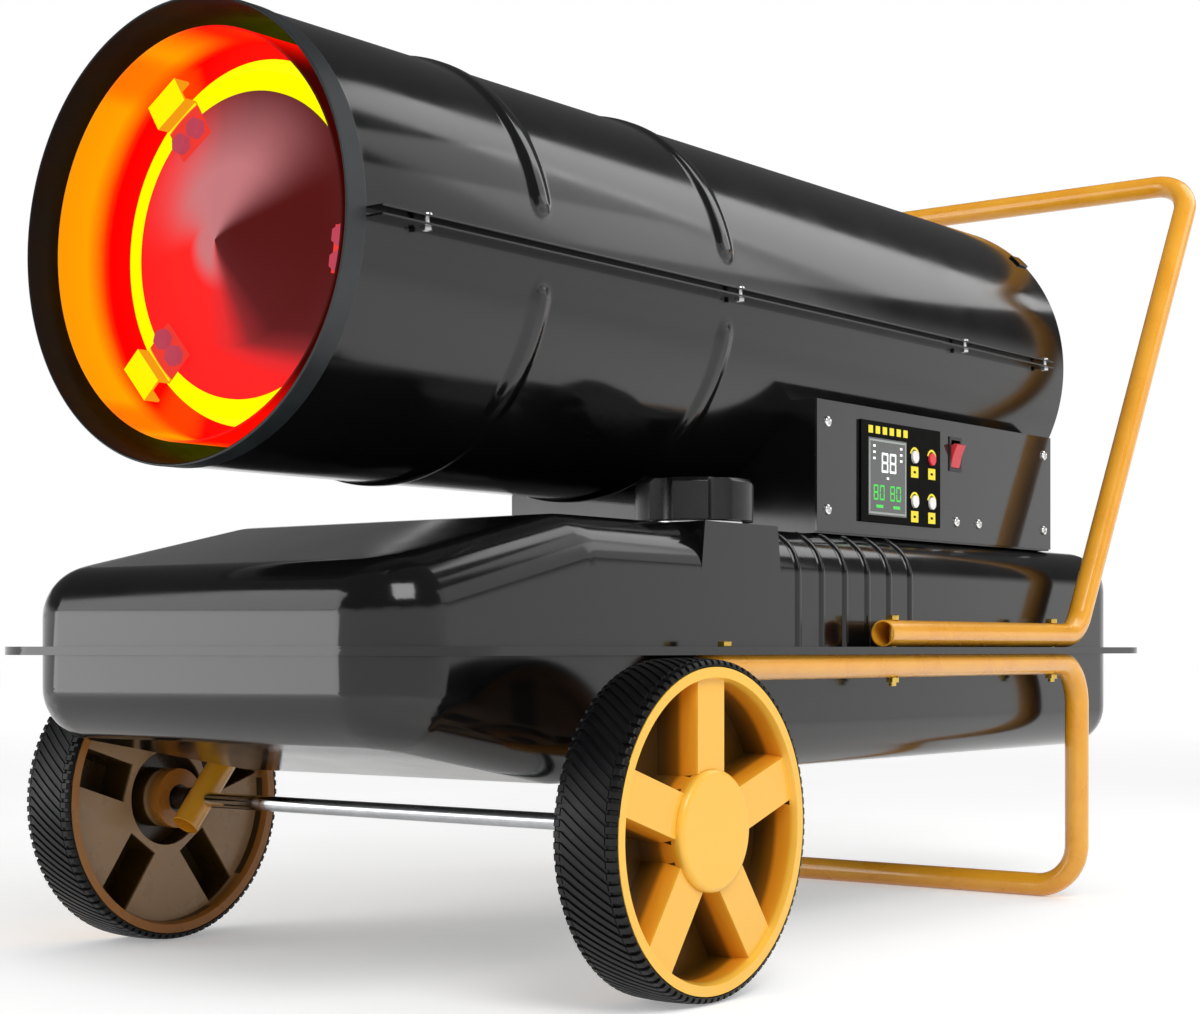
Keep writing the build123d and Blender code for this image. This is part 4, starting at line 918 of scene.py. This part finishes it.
# ---- bent tubes ----
def bend_path(points, corner, step_degrees=6.0):
    """Points along straight runs joined by round bends."""
    points = [Vector(p) for p in points]
    path = [points[0]]
    for before, at, after in zip(points, points[1:], points[2:]):
        into, out = (at - before).normalized(), (after - at).normalized()
        turn = into.angle(out)
        if turn < 1e-4:
            continue
        reach = corner * math.tan(turn / 2)
        start = at - into * reach
        inward = (out - into * into.dot(out)).normalized()
        centre = start + inward * corner
        arcs = max(2, round(math.degrees(turn) / step_degrees))
        for i in range(arcs + 1):
            a = turn * i / arcs
            path.append(centre - inward * corner * math.cos(a) + into * corner * math.sin(a))
    path.append(points[-1])
    return path


def round_tube(name, node, points, finish):
    """A bent steel tube with open ends, both its outer and its inner wall."""
    path = bend_path(points, TUBE_BEND)
    steps = 40
    rings = []
    side = None
    for i, point in enumerate(path):
        ahead = path[min(i + 1, len(path) - 1)] - path[max(i - 1, 0)]
        ahead.normalize()
        side = ahead.orthogonal() if side is None else side - ahead * side.dot(ahead)
        side.normalize()
        rings.append((point, side.copy(), ahead.cross(side)))
    first, last = rings[0], rings[-1]
    ahead_in = (path[1] - path[0]).normalized() * TUBE_END_ROUNDING
    ahead_out = (path[-1] - path[-2]).normalized() * TUBE_END_ROUNDING
    outer = [(first, TUBE_RADIUS - TUBE_END_ROUNDING), ((first[0] + ahead_in, *first[1:]), TUBE_RADIUS)]
    outer += [(ring, TUBE_RADIUS) for ring in rings[1:-1]]
    outer += [((last[0] - ahead_out, *last[1:]), TUBE_RADIUS), (last, TUBE_RADIUS - TUBE_END_ROUNDING)]
    inner = [(ring, TUBE_RADIUS - TUBE_WALL) for ring in reversed(rings)]
    verts = []
    for (centre, u, v), radius in outer + inner:
        for i in range(steps):
            turn = 2 * math.pi * i / steps
            verts.append(centre + (u * math.cos(turn) + v * math.sin(turn)) * radius)
    faces = grid_faces(len(outer) + len(inner), steps, close_columns=True, close_rows=True)
    return piece_for(node, name, verts, faces, finish, crease=50)


def loop(points):
    """The points, and back along their mirror images."""
    return points + [(-x, y, z) for x, y, z in reversed(points)]


handle_low, handle_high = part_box("handle_tube")
tube_x = handle_high.x - TUBE_RADIUS
handle_z = handle_low.z + TUBE_RADIUS
HANDLE_BEND_Y = 322 * MM
round_tube("push_handle", "handle_tube", loop([
    (tube_x, handle_low.y, handle_z),
    (tube_x, HANDLE_BEND_Y, handle_z),
    (tube_x, handle_high.y - TUBE_RADIUS, handle_high.z - TUBE_RADIUS)]), tube_gold)

leg_low, leg_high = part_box("leg_frame_tube")
LEG_BEND_Y = -305 * MM
LEG_END_OVERHANG = 26 * MM
leg_z = leg_high.z - TUBE_RADIUS
slope = Vector((0, WHEEL_CENTRE.y - LEG_BEND_Y, WHEEL_CENTRE.z - leg_z))
leg_end = Vector((tube_x, WHEEL_CENTRE.y, WHEEL_CENTRE.z)) + slope.normalized() * LEG_END_OVERHANG
round_tube("leg_frame", "leg_frame_tube", loop([
    tuple(leg_end),
    (tube_x, LEG_BEND_Y, leg_z),
    (tube_x, leg_high.y - TUBE_RADIUS, leg_z),
    (tube_x, leg_high.y - TUBE_RADIUS, leg_low.z + TUBE_RADIUS)]), tube_gold)


# ---- tyres ----
def tyre(side):
    """A tyre with slanted tread grooves and notched shoulder blocks, cut into the mesh."""
    node = side + "_tyre"
    corner_low, corner_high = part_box(node)
    mid_x = (corner_low.x + corner_high.x) / 2
    half = (corner_high.x - corner_low.x) / 2
    radius = WHEEL_RADIUS
    seat = 104.3 * MM
    lip = 109.3 * MM
    # Each row: share of the half width from the middle plane, radius, and shares of notch and groove.
    shoulder = [(-0.79, seat, 0, 0), (-0.79, lip, 0, 0), (-0.9, lip, 0, 0),
                (-0.99, lip + 1.2 * MM, 0, 0), (-1.0, radius - 5.2 * MM, 0, 0),
                (-0.995, radius - 4.4 * MM, 0.2, 0), (-0.97, radius - 2.6 * MM, 1, 0),
                (-0.92, radius - 1.3 * MM, 1, 0), (-0.8, radius - 0.8 * MM, 1, 0),
                (-0.74, radius - 0.7 * MM, 1, 0), (-0.72, radius - 1.6 * MM, 0, 0.4),
                (-0.70, radius - 0.6 * MM, 0, 1)]
    tread = [(x, radius - 0.6 * MM * (x / 0.7) ** 2, 0, 1) for x in spread(-0.62, 0.62, 0.155)]
    rows = shoulder + tread + [(-x, r, n, g) for x, r, n, g in reversed(shoulder)]
    # One block of the tread round the wheel: places in the block, and how much of the cut is there.
    pattern = ((0.0, 0.0), (0.56, 0.0), (0.62, 1.0), (0.94, 1.0))
    columns = TYRE_NOTCHES * len(pattern)
    verts = []
    for share, r, notch, groove in rows:
        shear = math.radians(TYRE_SLANT_DEGREES) * min(0.7, max(-0.7, share))
        for block in range(TYRE_NOTCHES):
            for place_in, sunk in pattern:
                turn = 2 * math.pi * (block + place_in) / TYRE_NOTCHES + shear
                depth = sunk * (notch * TYRE_NOTCH_DEPTH + groove * TYRE_GROOVE_DEPTH)
                verts.append((mid_x + share * half, WHEEL_CENTRE.y + (r - depth) * math.cos(turn),
                              WHEEL_CENTRE.z + (r - depth) * math.sin(turn)))
    faces = grid_faces(len(rows), columns, close_columns=True, close_rows=True, flip=True)
    make_piece(side + "_tread_tyre", verts, faces, tyre_rubber, "tyre_rubber", BODY_OF[node], (node,),
               crease=30)


for side in ("right", "left"):
    tyre(side)


# ---- rear guard ----
def wire_guard():
    """Round wire rings with straight wires across them and a small disc at the middle."""
    corner_low, corner_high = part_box("rear_guard")
    reach = corner_high.x
    wire = 1.5 * MM
    hub = 22 * MM
    ring_y = corner_high.y - wire
    spoke_y = ring_y - 1.6 * wire
    verts, faces = [], []
    rings = 7
    for index in range(rings):
        radius = hub + (reach - hub) * (index + 1) / rings - wire
        around, section = 96, 10
        points = []
        for i in range(around):
            a = 2 * math.pi * i / around
            for j in range(section):
                b = 2 * math.pi * j / section
                r = radius + wire * math.cos(b)
                points.append((r * math.cos(a), ring_y + wire * math.sin(b),
                               AXIS_HEIGHT + r * math.sin(a)))
        quads = grid_faces(around, section, close_columns=True, close_rows=True)
        append_mesh(verts, faces, points, quads)
    spokes, section = 8, 10
    for index in range(spokes):
        a = 2 * math.pi * index / spokes
        along = Vector((math.sin(a), 0, math.cos(a)))
        across = Vector((math.cos(a), 0, -math.sin(a)))
        points = []
        for distance in (hub - 2 * wire, reach - wire):
            for j in range(section):
                b = 2 * math.pi * j / section
                points.append(Vector((0, spoke_y + wire * math.sin(b), AXIS_HEIGHT)) + along * distance
                              + across * wire * math.cos(b))
        quads = grid_faces(2, section, close_columns=True)
        quads += [list(range(section))[::-1], list(range(section, 2 * section))]
        append_mesh(verts, faces, points, quads)
    # The disc at the middle: shares of its radius, and heights in wire radii.
    profile = [(0.0, -0.4), (0.6, -0.4), (0.88, -0.3), (1.0, 0.2), (1.0, 1.0), (0.9, 1.3), (0.0, 1.5)]
    around = 48
    points = [(0.002 * MM + share * hub * math.cos(2 * math.pi * i / around),
               spoke_y - wire + (rise + 0.4) * wire,
               AXIS_HEIGHT + share * hub * math.sin(2 * math.pi * i / around))
              for share, rise in profile for i in range(around)]
    append_mesh(verts, faces, points, grid_faces(len(profile), around, close_columns=True))
    piece_for("rear_guard", "wire_guard", verts, faces, wire_steel, crease=40)


wire_guard()


# ---- floor, light and camera ----
# The light of the surround, where 1 is its brightness as the camera sees it.
SURROUND_LIGHT = 0.55
# In reflections the backdrop is white up to this angle and fades to a dim ceiling by the next one.
BACKDROP_TOP = math.radians(5)
CEILING_EDGE = math.radians(15)
CEILING_LEVEL = 0.1
# The floor's own white grows from near the object to far away, distances in metres.
FLOOR_NEAR = 0.9
FLOOR_FAR = 5.0
FLOOR_WHITE_NEAR = 0.3
FLOOR_WHITE_FAR = 0.52
WHITE = (1, 1, 1, 1)


def looked_at(tree, path):
    """1 for a ray from the camera, off a glossy surface or through a clear one, and 0 for others."""
    seen = combined(tree, "MAXIMUM", path.outputs["Is Camera Ray"], path.outputs["Is Glossy Ray"])
    return combined(tree, "MAXIMUM", seen, path.outputs["Is Transmission Ray"])


def pale_floor():
    """A plain pale floor that meets a pale surround."""
    mesh = bpy.data.meshes.new("studio_floor")
    reach = 30.0
    corners = [(-reach, -reach, 0), (reach, -reach, 0), (reach, reach, 0), (-reach, reach, 0)]
    mesh.from_pydata(corners, [], [(0, 1, 2, 3)])
    floor = bpy.data.objects.new("studio_floor", mesh)
    bpy.context.scene.collection.objects.link(floor)
    material, tree, shader = finish_named("pale floor paint", Roughness=0.9, IOR=1.3,
                                          Emission_Color=WHITE)
    mixed_colour(tree, shader, speckle(tree, 300 * MM), "#f2f2f2", "#f6f6f6")
    distance = add(tree, "ShaderNodeVectorMath", [(0, place(tree))], operation="LENGTH")
    white = add(tree, "ShaderNodeMapRange", [("Value", distance.outputs["Value"])],
                in_From_Min=FLOOR_NEAR, in_From_Max=FLOOR_FAR, in_To_Min=FLOOR_WHITE_NEAR,
                in_To_Max=FLOOR_WHITE_FAR)
    seen = looked_at(tree, add(tree, "ShaderNodeLightPath"))
    shown = combined(tree, "MULTIPLY", white.outputs["Result"], seen)
    tree.links.new(shown, shader.inputs["Emission Strength"])
    mesh.materials.append(material)


def white_surround():
    """A white backdrop all round, a dim ceiling above it in reflections, and a softer light elsewhere."""
    world = bpy.data.worlds.new("studio")
    bpy.context.scene.world = world
    world.use_nodes = True
    tree = world.node_tree
    back = tree.nodes["Background"]
    back.inputs["Color"].default_value = WHITE
    path = add(tree, "ShaderNodeLightPath")
    parts = add(tree, "ShaderNodeSeparateXYZ", [
        ("Vector", add(tree, "ShaderNodeTexCoord").outputs["Generated"])])
    ceiling = add(tree, "ShaderNodeMapRange", [("Value", parts.outputs["Z"])],
                  interpolation_type="SMOOTHSTEP", in_From_Min=math.sin(BACKDROP_TOP),
                  in_From_Max=math.sin(CEILING_EDGE), in_To_Min=1.0, in_To_Max=CEILING_LEVEL)
    seen = add(tree, "ShaderNodeMapRange", [("Value", path.outputs["Is Camera Ray"]),
                                            ("To Min", ceiling.outputs["Result"])], in_To_Max=1.0)
    level = add(tree, "ShaderNodeMapRange", [("Value", looked_at(tree, path)),
                                             ("To Max", seen.outputs["Result"])], in_To_Min=SURROUND_LIGHT)
    tree.links.new(level.outputs["Result"], back.inputs["Strength"])


def softbox(name, spot, target, wide, tall, brightness, along=(0, 0, 1)):
    """A soft lamp of this brightness, where 1 is as bright as the white backdrop; cameras don't see it."""
    light = bpy.data.lights.new(name, "AREA")
    light.shape = "RECTANGLE"
    light.size = wide
    light.size_y = tall
    light.energy = brightness * math.pi * wide * tall
    lamp = bpy.data.objects.new(name, light)
    back = (Vector(spot) - Vector(target)).normalized()
    side = Vector(along).cross(back).normalized()
    turn = Matrix((side, back.cross(side), back)).transposed()
    lamp.matrix_world = Matrix.Translation(spot) @ turn.to_4x4()
    lamp.visible_camera = False
    bpy.context.scene.collection.objects.link(lamp)


def photograph_camera():
    """The camera at the photograph's place and angle, fitted in pixels of the 1200 x 1014 picture."""
    image_width, image_height = 1200, 1014
    focal_pixels = 2191.4
    centre_x, horizon_y = 550.0, 649.0
    sensor = 36.0
    heading = math.radians(38.189)
    data = bpy.data.cameras.new("camera")
    data.sensor_width = sensor
    data.lens = sensor * focal_pixels / image_width
    data.shift_x = (image_width / 2 - centre_x) / image_width
    data.shift_y = (horizon_y - image_height / 2) / image_width
    data.clip_end = 100
    camera = bpy.data.objects.new("camera", data)
    camera.location = (1.0981, -1.6063, 0.2358)
    camera.rotation_euler = (math.radians(90), 0, heading)
    bpy.context.scene.collection.objects.link(camera)
    bpy.context.scene.camera = camera


pale_floor()
white_surround()
# Each lamp: place, aim, width, height, brightness. The strip and the panel lamp give the barrel its
# bands of light, the low one shows in the tank's front, and the other three light the whole heater.
softbox("key_light", (1.9, -1.3, 2.1), (0, 0, 0.35), 1.4, 1.4, 6.0)
softbox("barrel_strip", (0.42, 0.92, 1.4), (0.15, -0.2, 0.57), 0.42, 1.1, 2.1, (0.22, 0.93, -0.29))
softbox("barrel_panel", (0.85, 0.9, 1.3), (0.15, -0.4, 0.55), 0.5, 0.8, 1.1)
softbox("side_panel_light", (1.75, 1.3, 1.3), (0.15, -0.2, 0.5), 1.6, 0.9, 0.8)
softbox("low_front_light", (-1.13, -1.61, 0.27), (0, -0.6, 0.25), 0.95, 0.5, 2.9)
softbox("fill_light", (-1.6, -2.2, 1.3), (0, -0.3, 0.4), 1.2, 1.2, 2.2)
photograph_camera()
bpy.context.scene.view_settings.view_transform = "Standard"
